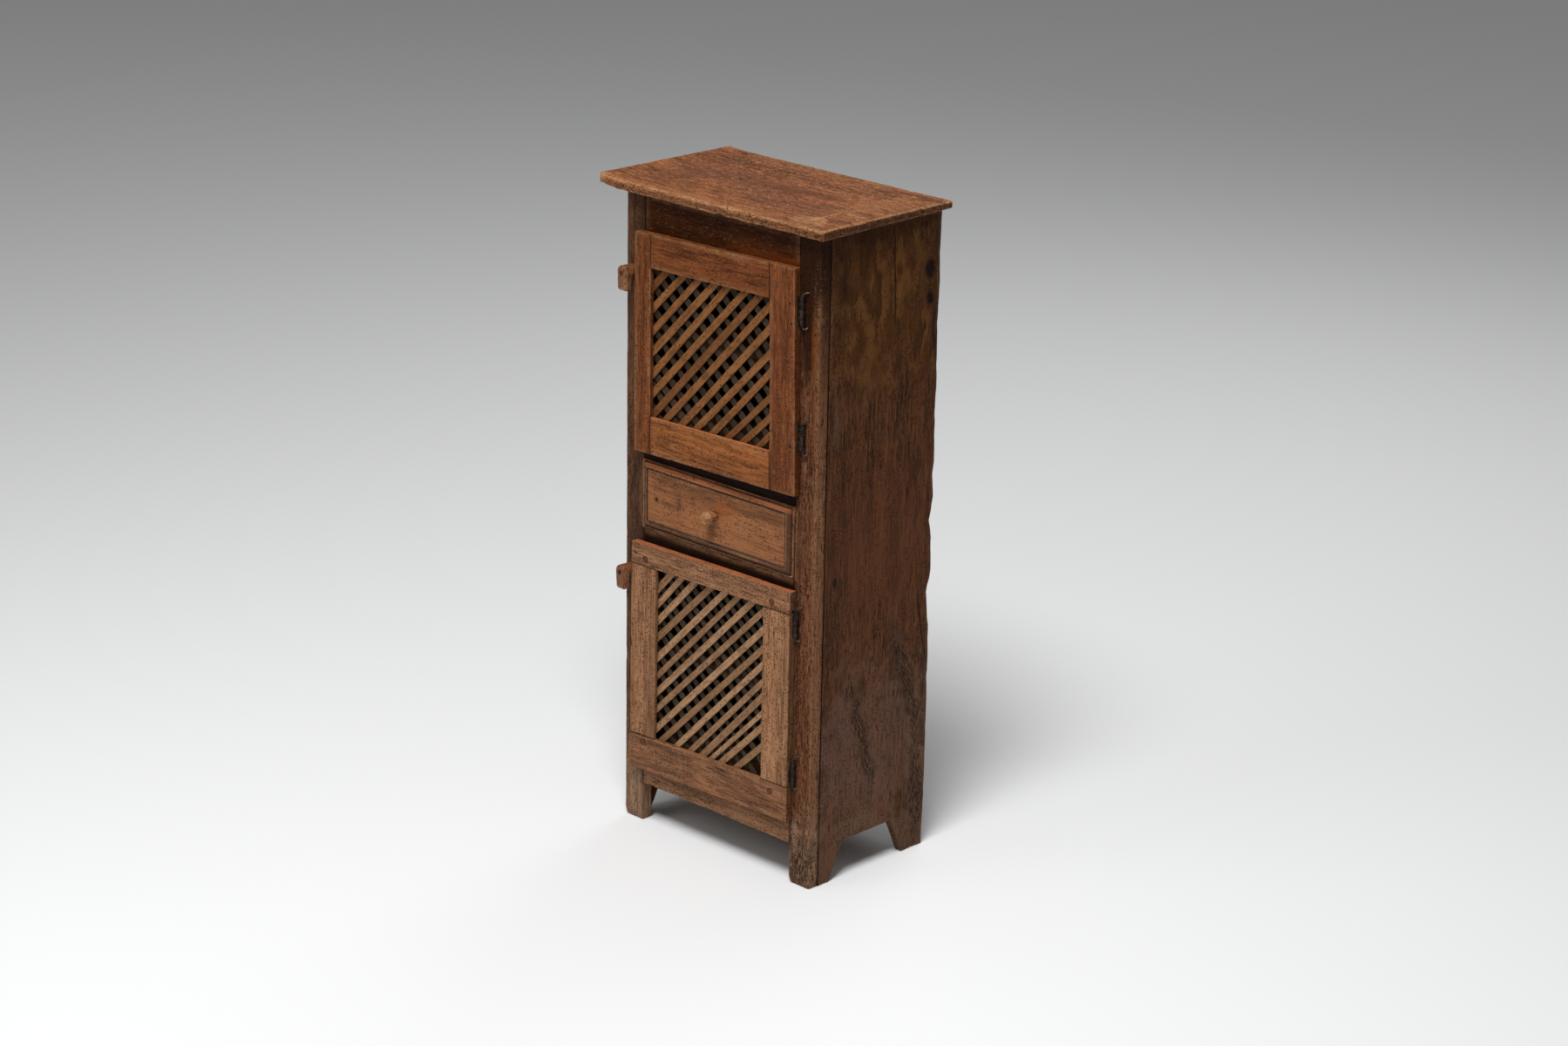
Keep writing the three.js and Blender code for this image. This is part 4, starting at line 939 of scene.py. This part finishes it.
class PIESAFE_OT_posts(bpy.types.Operator):
    """Makes the two posts and the four rails between them"""

    bl_idname = "piesafe.posts"
    bl_label = "Posts and rails"

    def execute(self, context):
        seams = [upright_seam(x, 0, z0, z1) for x in POST_SEAMS for z0, z1 in RAIL_HEIGHTS] + side_seams()
        for index, side in enumerate(("left", "right")):
            marks, cover = self.marks(side)
            material = wood(
                f"{side}_post_wood", tone(f"{side}_post"), "up", 2.1 + index, tone("rubbed", 0.72), worm=0.5,
                gloss=0.42, marks=marks, cover=cover, sheen=0.03 if side == "right" else 0.08,
            )
            worn_piece(
                f"{side}_post", f"{side}_worn_post", "carcass", "carcass_wood", material,
                (0.011, 0.007, 0.007), 21 + index, nibble=0.0006, reach=0.0045, seams=seams,
                foot=(0.014, 0.0032),
            )
        # Painted light: an orange glow along the lower right of the frieze.
        painted_glow = patch((100, 0, 1050), (110, 0, 10), (0.150, 0.034, 0.006), 0.60, ragged=0.4, run="across")
        # Painted shade darkening the lower middle rail towards the lower door's top.
        painted_shade = patch((0, 0, 507), (0, 0, 22), 0.10, 0.95, ragged=0.1, streaky=0.0)
        rub = tone("rubbed")
        rails = (
            ("bottom_rail", tone("bottom_rail"), rub, (), ()),
            ("lower_middle_rail", tone("rail"), rub, (), (painted_shade,)),
            # Painted shade: the rail above the drawer is darkened to near black for the shade in the gap
            # under the upper door.
            ("upper_middle_rail", tone("rail", 0.14), tinted(tone("rail", 0.14), 1.5), (), ()),
            ("frieze_rail", tone("frieze"), rub, (painted_glow,), ()),
        )
        for index, (rail, colour, worn, marks, cover) in enumerate(rails):
            material = wood(
                f"{rail}_wood", colour, "across", 3.7 + index, worn, worm=0.25, gloss=0.48,
                marks=marks, cover=cover, sheen=0.05,
            )
            worn_piece(
                rail, f"worn_{rail}", "carcass", "carcass_wood", material, (0.010, 0.02, 0.012), 31 + index,
                seams=seams,
            )
        return {"FINISHED"}

    def marks(self, side):
        """The marks under and over the rubbed arrises of one post; the right post's include painted shade, a
        painted glow and painted glints.
        """
        share = 0.75 if side == "right" else 0.45
        foot = patch((200, 10, 20), (0, 0, 130), (0.350, 0.210, 0.125), 0.85, ragged=0.5)
        specks = pitted((200, 5, 300), (0, 0, 900), (380.0, 380.0, 60.0), 0.16, share, most=0.61)
        knocks = pitted((200, 5, 20), (0, 0, 110), (150.0, 150.0, 70.0), 0.26, 0.75 * share)
        line = joint_line(SIDE_SEAM_Y, SEAM_WIDTH)
        if side == "left":
            return (foot, specks, knocks), (line,)
        painted_glint = (0.230, 0.150, 0.100)
        marks = (
            # Painted shade darkening the post towards its head.
            patch((200, 0, 1010), (0, 0, 210), 0.20, 0.90, ragged=0.3),
            patch((219.5, 12, 430), (6.5, 0, 620), (0.285, 0.128, 0.060), 0.85, ragged=0.12),
            # Painted shadow of the door's edge on the post's inner strip.
            patch((182, 0, 300), (11, 0, 420), 0.42, 0.60, ragged=0.3, streaky=0.3),
            # Painted glow on the post beside the upper hinge.
            patch((208, 4, 925), (9, 16, 85), (0.215, 0.062, 0.013), 0.70, ragged=0.3),
            foot,
            eaten((196, 0, 40), (22, 55), 0.1, 0.8, (0.180, 0.112, 0.070), front=True),
            specks,
            pitted((200, 5, 300), (0, 0, 620), (420.0, 420.0, 45.0), (0.290, 0.165, 0.100), 0.60, most=0.61),
            knocks,
        )
        cover = (
            # Painted shade beside the top hinge and under the top at the post's head.
            patch((192, 0, 985), (17, 0, 170), 0.14, 0.86, ragged=0.3, streaky=0.3),
            patch((200, 10, 1080), (0, 0, 105), 0.20, 0.95, ragged=0.15, streaky=0.1),
            # Painted glints where light catches a glossy patch by the hinge.
            pitted((212, 4, 1000), (12, 16, 80), (240.0, 240.0, 150.0), painted_glint, 0.42, most=0.65),
            line,
        )
        return marks, cover


class PIESAFE_OT_sides(bpy.types.Operator):
    """Makes the two side planks with their bracket feet"""

    bl_idname = "piesafe.sides"
    bl_label = "Side planks"

    def execute(self, context):
        olive, smoke, rusty = (0.084, 0.0300, 0.0052), (0.175, 0.076, 0.0200), (0.120, 0.039, 0.0170)
        purple, tan, dark = (0.088, 0.042, 0.031), (0.150, 0.082, 0.047), 0.22
        marks = (
            on_side(130, 1000, 150, 180, olive, 0.80, streaky=0.2),
            on_side(230, 870, 30, 80, olive, 0.75, streaky=0.3),
            swirls(0.80, 1.12, smoke, 0.50),
            swirls(0.80, 1.12, tinted(olive, 0.35), 0.50, shift=2.6),
            on_side(50, 1010, 22, 110, dark, 0.55),
            on_side(96, 1060, 12, 60, dark, 0.60),
            # Painted shade under the top's overhang.
            on_side(150, 1092, 160, 22, dark, 0.65, streaky=0.2),
            on_side(89, 969, 13, 28, smoke, 0.55, ragged=1.3, streaky=0.3),
            on_side(222, 1058, 8, 28, smoke, 0.60, ragged=1.3, streaky=0.3),
            on_side(202, 1008, 7, 20, smoke, 0.50, ragged=1.3, streaky=0.3),
            on_side(183, 964, 9, 32, smoke, 0.50, ragged=1.3, streaky=0.3),
            on_side(150, 560, 130, 160, rusty, 0.45, streaky=0.3),
            on_side(114, 395, 34, 70, (0.140, 0.060, 0.026), 0.40),
            on_side(60, 235, 60, 100, purple, 0.65, streaky=0.2),
            on_side(170, 170, 50, 60, purple, 0.40, streaky=0.2),
            on_side(250, 190, 26, 170, tan, 0.50),
            on_side(140, 200, 180, 190, (0.170, 0.088, 0.058), 0.60, streaky=0.4),
            on_side(105, 86, 85, 18, tan, 0.80),
            on_side(45, 785, 12, 45, tan, 0.50),
            on_side(269, 912, 9, 50, dark, 0.90, ragged=0.5, streaky=0.1),
            on_side(150, 20, 0, 75, tan, 0.62, ragged=0.5, streaky=0.3),
            knot((218, 253, 1009), 16, 22, depth=1.0),
            knot((218, 256, 961), 11, 16, depth=1.0),
            knot((218, 47, 525), 6, 11),
            eaten((218, 119, 238), (13, 110), -0.27, 0.75, tan),
            eaten((218, 232, 290), (17, 110), -0.31, 0.70, tan),
            eaten((218, 256, 100), (18, 85), -0.05, 0.75, tan),
            pitted((218, 150, 250), (0, 300, 260), (250.0, 250.0, 70.0), dark, 0.58, most=0.62),
            pitted((218, 150, 900), (0, 300, 300), (250.0, 250.0, 65.0), dark, 0.55, most=0.63),
            split(171, 0.920, 1.100, 0.0018, lean=-0.06),
            split(259, 0.318, 0.468, 0.0020, wander=0.0010, lean=-0.198),
        )
        plain = (
            on_side(90, 720, 90, 200, rusty, 0.50, streaky=0.3),
            on_side(200, 900, 100, 180, olive, 0.70, streaky=0.2),
            on_side(110, 250, 120, 160, (0.140, 0.072, 0.046), 0.55, streaky=0.4),
            # Painted shade under the top's overhang.
            on_side(150, 1095, 160, 22, dark, 0.60, streaky=0.2),
            knot((-218, 120, 820), 10, 15),
            knot((-218, 205, 430), 7, 12),
            eaten((-218, 225, 210), (18, 120), 0.15, 0.8, tan),
            split(150, 0.620, 0.800, 0.0014, lean=0.03),
        )
        for index, (side, drawn) in enumerate((("left", plain), ("right", marks))):
            material = wood(
                f"{side}_side_wood", tone("side"), "up", 5.3 + index, tan, worm=0.4, gloss=0.44, figure=1.05,
                age=0.8, speckle=1.3, marks=drawn, cover=(joint_line(SIDE_SEAM_Y, SEAM_WIDTH),), sheen=0.05,
            )
            worn_piece(
                f"{side}_side", f"{side}_plank_side", "carcass", "carcass_wood", material,
                (0.02, 0.011, 0.008), 41 + index, nibble=0.0014, reach=0.0045, seams=side_seams(),
            )
        return {"FINISHED"}


class PIESAFE_OT_inside(bpy.types.Operator):
    """Gives the back, floors, shelves, cleats and guides their unfinished wood"""

    bl_idname = "piesafe.inside"
    bl_label = "Inside boards"

    def execute(self, context):
        rub = tone("inside", 1.6)
        along = wood("bare_board", tone("inside"), "across", 6.1, rub, worm=0.2, gloss=0.68, age=0.7)
        upright = {
            f"back_board_{count}": wood(
                f"bare_back_board_{count}", tone("inside", share), "up", 7.4 + count, rub,
                worm=0.25, gloss=0.70, age=0.9,
            )
            for count, share in ((1, 1.00), (2, 0.72), (3, 0.88))
        }
        runner = wood("bare_cleat", tone("inside", 0.9), "back", 8.2, rub, worm=0.15, gloss=0.70)
        dresses = {
            "drawer_side_left": runner, "drawer_side_right": runner,
            "drawer_back": along, "drawer_bottom": along,
        }
        for name, node in frame["nodes"].items():
            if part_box(name) and node["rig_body"] == "carcass":
                if name in upright:
                    dresses[name] = upright[name]
                elif "cleat" in name or "guide" in name:
                    dresses[name] = runner
                elif name.endswith("_board") and name != "top_board" or name.endswith("_shelf"):
                    dresses[name] = along
        for name, material in dresses.items():
            redress(frame["nodes"][name], material, 0.0008, limit_method="ANGLE")
        return {"FINISHED"}


# Doors

PANEL_LAP = 10.0
SLAT_THICKNESS = 3.1
SMALLEST_SLAT = 12


def door_seams(title):
    """The joint lines on a door's face: the upper door's stiles run through, the lower door's rails do."""
    door = DOORS[title]
    left, right, bottom, top = opening(door)
    if title == "upper":
        spans = ((door["bottom"], bottom), (top, door["top"]))
        lines = [((x, z0), (x, z1)) for x in (left, right) for z0, z1 in spans]
    else:
        spans = ((door["left"], left), (right, door["right"]))
        lines = [((x0, z), (x1, z)) for z in (bottom, top) for x0, x1 in spans]
    return [tuple(np.array(on_door(door, x, DOOR_FRONT, z)) for x, z in line) for line in lines]


class PIESAFE_OT_door_frames(bpy.types.Operator):
    """Makes the stiles and rails of both doors"""

    bl_idname = "piesafe.door_frames"
    bl_label = "Door frames"

    def execute(self, context):
        upper = (tone("upper_rail", 1.18), tone("upper_stile"), tone("upper_rail"), tone("upper_foot"))
        greyed = tone("lower_rail", (1.1, 1.18, 1.25))
        lower = (tone("lower_stile"), tone("lower_stile"), greyed, tone("lower_rail"))
        members = (
            ("left_stile", "up"), ("right_stile", "up"), ("top_rail", "across"), ("bottom_rail", "across"),
        )
        doors = (("upper", upper, 0.34, 0.55, "bottom_rail"), ("lower", lower, 0.46, 0.80, "top_rail"))
        for index, (title, tones, worm, shaded, painted_lit_member) in enumerate(doors):
            for step, ((member, run), colour) in enumerate(zip(members, tones)):
                node = f"{title}_door_{member}"
                # Painted shade on the faces turned to the right.
                faces = [painted_light_by_facing((1.0, 0.0, 0.0), shaded if member == "left_stile" else 0.36, 0.80)]
                # Painted highlight on the top faces of the upper door's bottom rail and the lower door's top
                # rail.
                if member == painted_lit_member:
                    faces.append(painted_light_by_facing((0.0, 0.0, 1.0), (0.420, 0.125, 0.043), 0.80))
                seed = index * 5 + step
                material = wood(
                    f"{node}_wood", colour, run, 10.3 + seed, tone("rubbed"), worm=worm, gloss=0.46,
                    cover=faces,
                )
                cells = (0.012, 0.004, 0.006) if run == "up" else (0.006, 0.004, 0.012)
                worn_piece(
                    node, f"worn_{node}", f"{title}_door", "door_wood", material, cells, 51 + seed,
                    reach=0.0032, seams=door_seams(title),
                )
        return {"FINISHED"}


def clipped(polygon, low_x, high_x, low_z, high_z):
    """The part of a flat shape that lies inside a rectangle."""
    for axis, limit, sign in ((0, low_x, 1), (0, high_x, -1), (1, low_z, 1), (1, high_z, -1)):
        kept = []
        for index, point in enumerate(polygon):
            before = polygon[index - 1]
            inside = (point[axis] - limit) * sign >= 0
            if inside != ((before[axis] - limit) * sign >= 0):
                share = (limit - before[axis]) / (point[axis] - before[axis])
                kept.append(tuple(start + (end - start) * share for start, end in zip(before, point)))
            if inside:
                kept.append(point)
        polygon = kept
    return polygon


def area(polygon):
    pairs = zip(polygon, polygon[1:] + polygon[:1])
    return abs(sum(a[0] * b[1] - b[0] * a[1] for a, b in pairs)) / 2


class PIESAFE_OT_lattices(bpy.types.Operator):
    """Lays the slats of both doors, one layer rising to the right over one that falls"""

    bl_idname = "piesafe.lattices"
    bl_label = "Lattices"

    def execute(self, context):
        rear = slat_wood("rear_slat_wood", tone("rear_slat"), "falling", 23.0)
        for index, (title, door) in enumerate(DOORS.items()):
            front = slat_wood(f"{title}_slat_wood", tone(f"{title}_slat"), "rising", 21.0 + index)
            seam = DOOR_BACK - 0.2 - SLAT_THICKNESS
            depths = ((seam - SLAT_THICKNESS, seam - 0.05), (seam + 0.05, seam + SLAT_THICKNESS))
            pieces = (
                self.layer(title, door, "front_slats", 1, depths[0], front, 61 + index),
                self.layer(title, door, "rear_slats", -1, depths[1], rear, 71 + index),
            )
            for piece in pieces:
                keep(piece, f"{title}_door", "lattice_wood", f"{title}_door_lattice")
        return {"FINISHED"}

    def layer(self, title, door, rows, slope, depths, material, seed):
        left, right, bottom, top = opening(door)
        margin = PANEL_LAP - 0.3
        bounds = (left - margin, right + margin, bottom - margin, top + margin)
        reach = (top - bottom) / 2 + PANEL_LAP
        low, high = (bottom + top) / 2 - reach, (bottom + top) / 2 + reach
        bm = bmesh.new()
        shade = bm.verts.layers.float.new("tone")
        segments = []
        for count, (spot, run, girth) in enumerate(door[rows]):
            x = (left + right) / 2 + (right - left) * spot
            half = girth * door["slat_width"] / 2 * math.hypot(1, run)
            aside = slope * run * reach
            corners = ((-half - aside, low), (half - aside, low), (half + aside, high), (aside - half, high))
            shape = clipped([(x + across, z) for across, z in corners], *bounds)
            if len(shape) > 2 and area(shape) > SMALLEST_SLAT:
                segments += self.slat(bm, shade, door, shape, depths, count, seed)
        cut_diagonally(bm, slope, 0.012)
        split_large_faces(bm)
        piece = new_piece(f"{title}_{rows}", bm, material)
        wear_down(piece, segments, seed, 0.0002, 0.0006, reach=0.0025)
        shade_softly(piece)
        return piece

    def slat(self, bm, shade, door, shape, depths, count, seed):
        """Adds one slat and returns its long arrises."""
        shift = noise.noise(Vector((count * 1.37, seed * 2.11, 0.5)))
        thin = 0.35 * (0.5 + 0.5 * noise.noise(Vector((count * 2.71, seed * 1.3, 4.5))))
        front, back = (
            [bm.verts.new(on_door(door, x, y, z)) for x, z in shape] for y in (depths[0] + thin, depths[1])
        )
        for vert in front + back:
            vert[shade] = 0.5 + shift
        faces = [bm.faces.new(front), bm.faces.new(list(reversed(back)))]
        for index in range(len(front)):
            faces.append(bm.faces.new((front[index - 1], back[index - 1], back[index], front[index])))
        bmesh.ops.recalc_face_normals(bm, faces=faces)
        long_edges = []
        for ring in (front, back):
            for index, vert in enumerate(ring):
                edge = bm.edges.get((ring[index - 1], vert))
                run = edge.verts[1].co - edge.verts[0].co
                if abs(abs(run.x) - abs(run.z)) < 0.20 * run.length and run.length > 0.004:
                    long_edges.append(edge)
        arrises = [ends(edge) for edge in long_edges]
        bmesh.ops.bevel(bm, geom=long_edges, offset=0.0005, segments=1, affect="EDGES", clamp_overlap=True)
        return arrises


# Ironwork

AXIS_Y = -5.0
BARREL_LENGTH = 46.0
BARREL_LEVELS = 14
BORE_RADIUS = 1.8
STRAP_HALF = 1.1
WIRE_RADIUS = 1.35
WIRE_COLOUR = (0.085, 0.073, 0.063)


def swept(name, points, radius, sides, material, seed):
    """A round wire through a row of points, a little uneven as a forged one is."""
    bm = bmesh.new()
    rings = []
    side = Vector((0, 0, 1))
    for index, point in enumerate(points):
        ahead = points[min(index + 1, len(points) - 1)] - points[max(index - 1, 0)]
        ahead.normalize()
        side = side - ahead * side.dot(ahead)
        side = side.normalized() if side.length > 1e-6 else ahead.orthogonal().normalized()
        other = ahead.cross(side)
        girth = radius * (0.94 + 0.06 * noise.noise(Vector((index * 0.7, seed, 0))))
        spots = [point + (side * wide + other * deep) * girth for wide, deep in circle(sides)]
        rings.append([bm.verts.new(spot) for spot in spots])
    skin(bm, rings)
    return finished(name, bm, material, 50.0, capped=(rings[0], rings[-1]))


def bezier(a, b, c, d, steps):
    points = []
    for step in range(steps):
        t = step / steps
        points.append(a * (1 - t) ** 3 + b * 3 * t * (1 - t) ** 2 + c * 3 * t * t * (1 - t) + d * t ** 3)
    return points


class PIESAFE_OT_hinges(bpy.types.Operator):
    """Makes the four rolled barrels and the bent wire staples that they turn on"""

    bl_idname = "piesafe.hinges"
    bl_label = "Hinges"

    def execute(self, context):
        forged = iron_finish("forged_iron", tone("iron"), 1.0)
        wire = iron_finish("drawn_wire", WIRE_COLOUR, 4.0, polish=0.28)
        for title, door in DOORS.items():
            for word, drop in zip(("top", "bottom"), door["hinge_drops"]):
                node = f"{title}_door_{word}_hinge"
                seed = drop * 0.1
                barrel = self.barrel(door, drop, f"{node}_roll", forged, seed)
                keep(barrel, f"{title}_door", "iron", f"{node}_barrel")
                staple = swept(f"{node}_wire", self.route(door, drop), WIRE_RADIUS * MM, 10, wire, seed)
                keep(staple, "carcass", "iron", f"{node}_staple")
        return {"FINISHED"}

    def section(self, door):
        """The strap and the roll seen from above, from the hinge's axis, in millimetres."""
        strap = door["right"] - 19.0 - door["axis_x"]
        shape = [(strap, -STRAP_HALF), (-4.3, -STRAP_HALF)]
        for step in range(27):
            angle = math.pi + 0.25 + (2 * math.pi - 0.5) * step / 26
            radius = 4.5 if step < 11 else 4.05 + (step - 11) / 16 * 0.4
            shape.append((radius * math.cos(angle), radius * math.sin(angle)))
        return shape + [(-4.3, STRAP_HALF), (strap, STRAP_HALF)]

    def barrel(self, door, drop, name, material, seed):
        middle = door["top"] - drop
        axis_x = door["axis_x"]
        section = self.section(door)
        bm = bmesh.new()
        rings = []
        for level in range(BARREL_LEVELS):
            height = middle + BARREL_LENGTH * (level / (BARREL_LEVELS - 1) - 0.5)
            squeeze = 0.93 if level in (0, BARREL_LEVELS - 1) else 1.0
            ring = []
            for x, y in section:
                dent = 0.12 * noise.noise(Vector(((axis_x + x) * 0.4, y * 0.4, height * 0.15 + seed)))
                pull = squeeze - (0.02 + dent * 0.25) if abs(x) < 4.6 else 1.0
                ring.append(bm.verts.new(on_door(door, axis_x + x * pull, AXIS_Y + y * pull, height)))
            rings.append(ring)
        skin(bm, rings)
        bore = []
        for height in (middle - BARREL_LENGTH / 2, middle + BARREL_LENGTH / 2):
            spots = [(axis_x + BORE_RADIUS * x, AXIS_Y + BORE_RADIUS * y) for x, y in circle(12)]
            bore.append([bm.verts.new(on_door(door, x, y, height)) for x, y in spots])
        skin(bm, bore)
        for loops in ((rings[0], bore[0]), (rings[-1], bore[-1])):
            pairs = [(loop[index - 1], vert) for loop in loops for index, vert in enumerate(loop)]
            edges = [bm.edges.get(pair) for pair in pairs]
            bmesh.ops.triangle_fill(bm, edges=edges, use_beauty=True)
        return finished(name, bm, material, 38.0)

    def route(self, door, drop):
        """The bent wire: out of the post, down through the barrel and back into the post."""
        head = door["top"] - drop + BARREL_LENGTH / 2 + 1.2
        foot = door["top"] - drop - BARREL_LENGTH / 2 - 1.2
        face = -AXIS_Y

        def at(aside, back, z):
            return on_door(door, door["axis_x"] + aside, AXIS_Y + back, z)

        top = head + 8
        points = [at(10.5, face + 12, top)]
        points += bezier(at(10.5, face, top), at(10.5, 0, top), at(0, 0, top), at(0, 0, head), 12)
        points += [at(0, 0, head + (foot - head) * step / 8) for step in range(8)]
        points += bezier(at(0, 0, foot), at(0, 0, foot - 4), at(7, 0, foot - 4), at(7, face, foot), 12)
        return points + [at(7, face, foot), at(7, face + 12, foot)]


# Small pieces

PEG_COLOUR, PEG_RUB = (0.125, 0.052, 0.024), (0.12, 0.07, 0.04)
PEGS = {
    "upper_door": ((134, 1014), (137, 707), (-162, 694), (-156, 1008.5)),
    "lower_door": ((138, 487), (-156, 483), (-160, 154), (140, 157)),
}
OLD_NAILS = ((166, 990), (171, 958), (173, 757))


class PIESAFE_OT_pegs(bpy.types.Operator):
    """Drives the pegs through the door joints and a few old nails beside the hinges"""

    bl_idname = "piesafe.pegs"
    bl_label = "Pegs and nails"

    def execute(self, context):
        peg = wood(
            "peg_end_grain", PEG_COLOUR, "back", 31.0, PEG_RUB, worm=0.0, gloss=0.66, figure=0.5, speckle=0.5,
            sheen=0.04,
        )
        iron = iron_finish("old_nail", tone("iron"), 8.0)
        for body, spots in PEGS.items():
            for index, (x, z) in enumerate(spots):
                piece = self.disc(f"{body}_peg_{index + 1}", x, z, 6.0, 0.12, peg, index + len(body))
                keep(piece, body, "door_wood")
        for index, (x, z) in enumerate(OLD_NAILS):
            piece = self.disc(f"upper_door_nail_{index + 1}", x, z, 2.0, 0.35, iron, index + 40)
            keep(piece, "upper_door", "iron")
        return {"FINISHED"}

    def disc(self, name, x, z, radius, proud, material, seed):
        bm = bmesh.new()
        grime = bm.verts.layers.float.new("grime")
        rings = []
        levels = ((1.0, 3.0, 0.95), (1.0, -proud * 0.4, 0.95), (0.84, -proud, 0.0), (0.4, -proud * 1.15, 0.0))
        for share, y, dirt_and_shade in levels:
            ring = []
            for wide, high in circle(14):
                girth = radius * share * (1 + 0.09 * noise.noise(Vector((wide, high, seed))))
                ring.append(bm.verts.new(place(x + girth * wide, DOOR_FRONT + y, z + girth * high)))
                ring[-1][grime] = dirt_and_shade
            rings.append(ring)
        skin(bm, rings)
        return finished(name, bm, material, 50.0, capped=(rings[0], rings[-1]))


class PIESAFE_OT_drawer(bpy.types.Operator):
    """Makes the moulded drawer front and its whittled knob"""

    bl_idname = "piesafe.drawer"
    bl_label = "Drawer front and knob"

    def execute(self, context):
        field = (place(-157.4, -10, 550.6), place(157.6, -10, 640.4))
        band, worn, dirt_and_shade = (0.066, 0.027, 0.014), (0.380, 0.205, 0.100), (0.020, 0.009, 0.005)
        flat = {"run": "across"}
        marks = (
            knot((-83, -8, 595), 5, 11, depth=0.45),
            knot((-137, -8, 591), 5, 5, depth=1.0, **flat),
            patch((-110, -8, 588), (30, 0, 6), band, 0.60, **flat),
            patch((-7, -8, 566), (10, 0, 20), band, 0.55, ragged=0.5, **flat),
            patch((22, -8, 614), (32, 0, 18), (0.270, 0.080, 0.017), 0.55, ragged=0.5, streaky=0.3, **flat),
            # Painted glow of light on the field to the right of the knob.
            patch((70, -8, 590), (80, 0, 34), (0.330, 0.140, 0.050), 0.35, **flat),
            border(*field, 0.0004, band, 0.95),
            # Painted highlight along the top moulding, which faces up into the light.
            patch((0, -6, 646.5), (0, 0, 5.8), (0.330, 0.100, 0.036), 0.75, ragged=0.3, streaky=0.75, **flat),
            patch((60, -6, 545.5), (90, 0, 4), worn, 0.40, ragged=0.3, **flat),
        )
        lines = (
            # Dirt and painted shade in the two quirks round the field.
            outline(*field, 0.0008, 0.0013, dirt_and_shade, 0.95, broken=0.25),
            outline(*field, 0.0112, 0.0010, dirt_and_shade, 0.85, broken=0.35),
            outline(*field, 0.0024, 0.0008, worn, 0.60, broken=0.8),
            outline(*field, 0.0150, 0.0010, worn, 0.65, broken=0.8),
        )
        face = wood(
            "drawer_front_wood", tone("drawer"), "across", 13.7, tone("rubbed"), worm=0.35, gloss=0.42,
            figure=0.6, age=0.45, speckle=0.8, marks=marks, cover=lines, sheen=0.14,
        )
        worn_piece(
            "drawer_front", "worn_drawer_front", "drawer", "door_wood", face, (0.008, 0.03, 0.008), 81,
            arris=0.0004, nibble=0.0008, reach=0.0016,
        )
        whittled = wood(
            "whittled_wood", tone("knob"), "back", 14.2, (0.470, 0.235, 0.105), worm=0.05, gloss=0.4,
            figure=0.5, sheen=0.2,
        )
        worn_piece(
            "drawer_knob", "whittled_knob", "drawer", "top_wood", whittled, (0.0018, 0.0018, 0.0018), 83,
            arris=0.0004, sway=0.0001, nibble=0.0003, shortest=0.003, reach=0.0014,
        )
        return {"FINISHED"}


class PIESAFE_OT_buttons(bpy.types.Operator):
    """Makes the two turn buttons and the nails that they turn on"""

    bl_idname = "piesafe.buttons"
    bl_label = "Turn buttons"

    def execute(self, context):
        iron = iron_finish("button_nail_iron", tone("iron"), 12.0)
        for index, title in enumerate(("upper_button", "lower_button")):
            material = wood(
                f"{title}_wood", tone("button"), "up", 15.0 + index, tone("rubbed"), worm=0.2, gloss=0.42,
                sheen=0.2,
            )
            worn_piece(
                title, f"whittled_{title}", title, "top_wood", material, (0.004, 0.004, 0.004), 91 + index,
                arris=0.0008, nibble=0.0008, shortest=0.005,
            )
            redress(frame["nodes"][f"{title}_nail"], iron, 0.0003)
        return {"FINISHED"}


class PIESAFE_PT_sidebar(bpy.types.Panel):
    """Lists the cupboard's pieces and settings"""

    bl_idname = "PIESAFE_PT_sidebar"
    bl_label = "Pie Safe"
    bl_space_type = "VIEW_3D"
    bl_region_type = "UI"
    bl_category = "Pie Safe"

    def draw(self, context):
        for operator in OPERATORS:
            self.layout.operator(operator.bl_idname)
        for settings in SETTINGS:
            group = getattr(context.scene, settings)
            for prop in group.bl_rna.properties:
                if not prop.is_readonly and prop.identifier != "name":
                    self.layout.prop(group, prop.identifier)


SETTINGS = {
    "pie_safe_wear": PieSafeWear,
    "pie_safe_colours": PieSafeColours,
    "pie_safe_studio": PieSafeStudio,
}
OPERATORS = (
    PIESAFE_OT_stage,
    PIESAFE_OT_top,
    PIESAFE_OT_posts,
    PIESAFE_OT_sides,
    PIESAFE_OT_inside,
    PIESAFE_OT_door_frames,
    PIESAFE_OT_lattices,
    PIESAFE_OT_hinges,
    PIESAFE_OT_pegs,
    PIESAFE_OT_drawer,
    PIESAFE_OT_buttons,
)


def register():
    for name, group in SETTINGS.items():
        bpy.utils.register_class(group)
        setattr(bpy.types.Scene, name, bpy.props.PointerProperty(type=group))
    for kind in (*OPERATORS, PIESAFE_PT_sidebar):
        bpy.utils.register_class(kind)


def unregister():
    for kind in (PIESAFE_PT_sidebar, *reversed(OPERATORS)):
        bpy.utils.unregister_class(kind)
    for name, group in SETTINGS.items():
        delattr(bpy.types.Scene, name)
        bpy.utils.unregister_class(group)


def main():
    register()
    for operator in OPERATORS:
        step = operator.bl_idname.split(".")[1]
        getattr(bpy.ops.piesafe, step)()


if __name__ == "__main__":
    main()
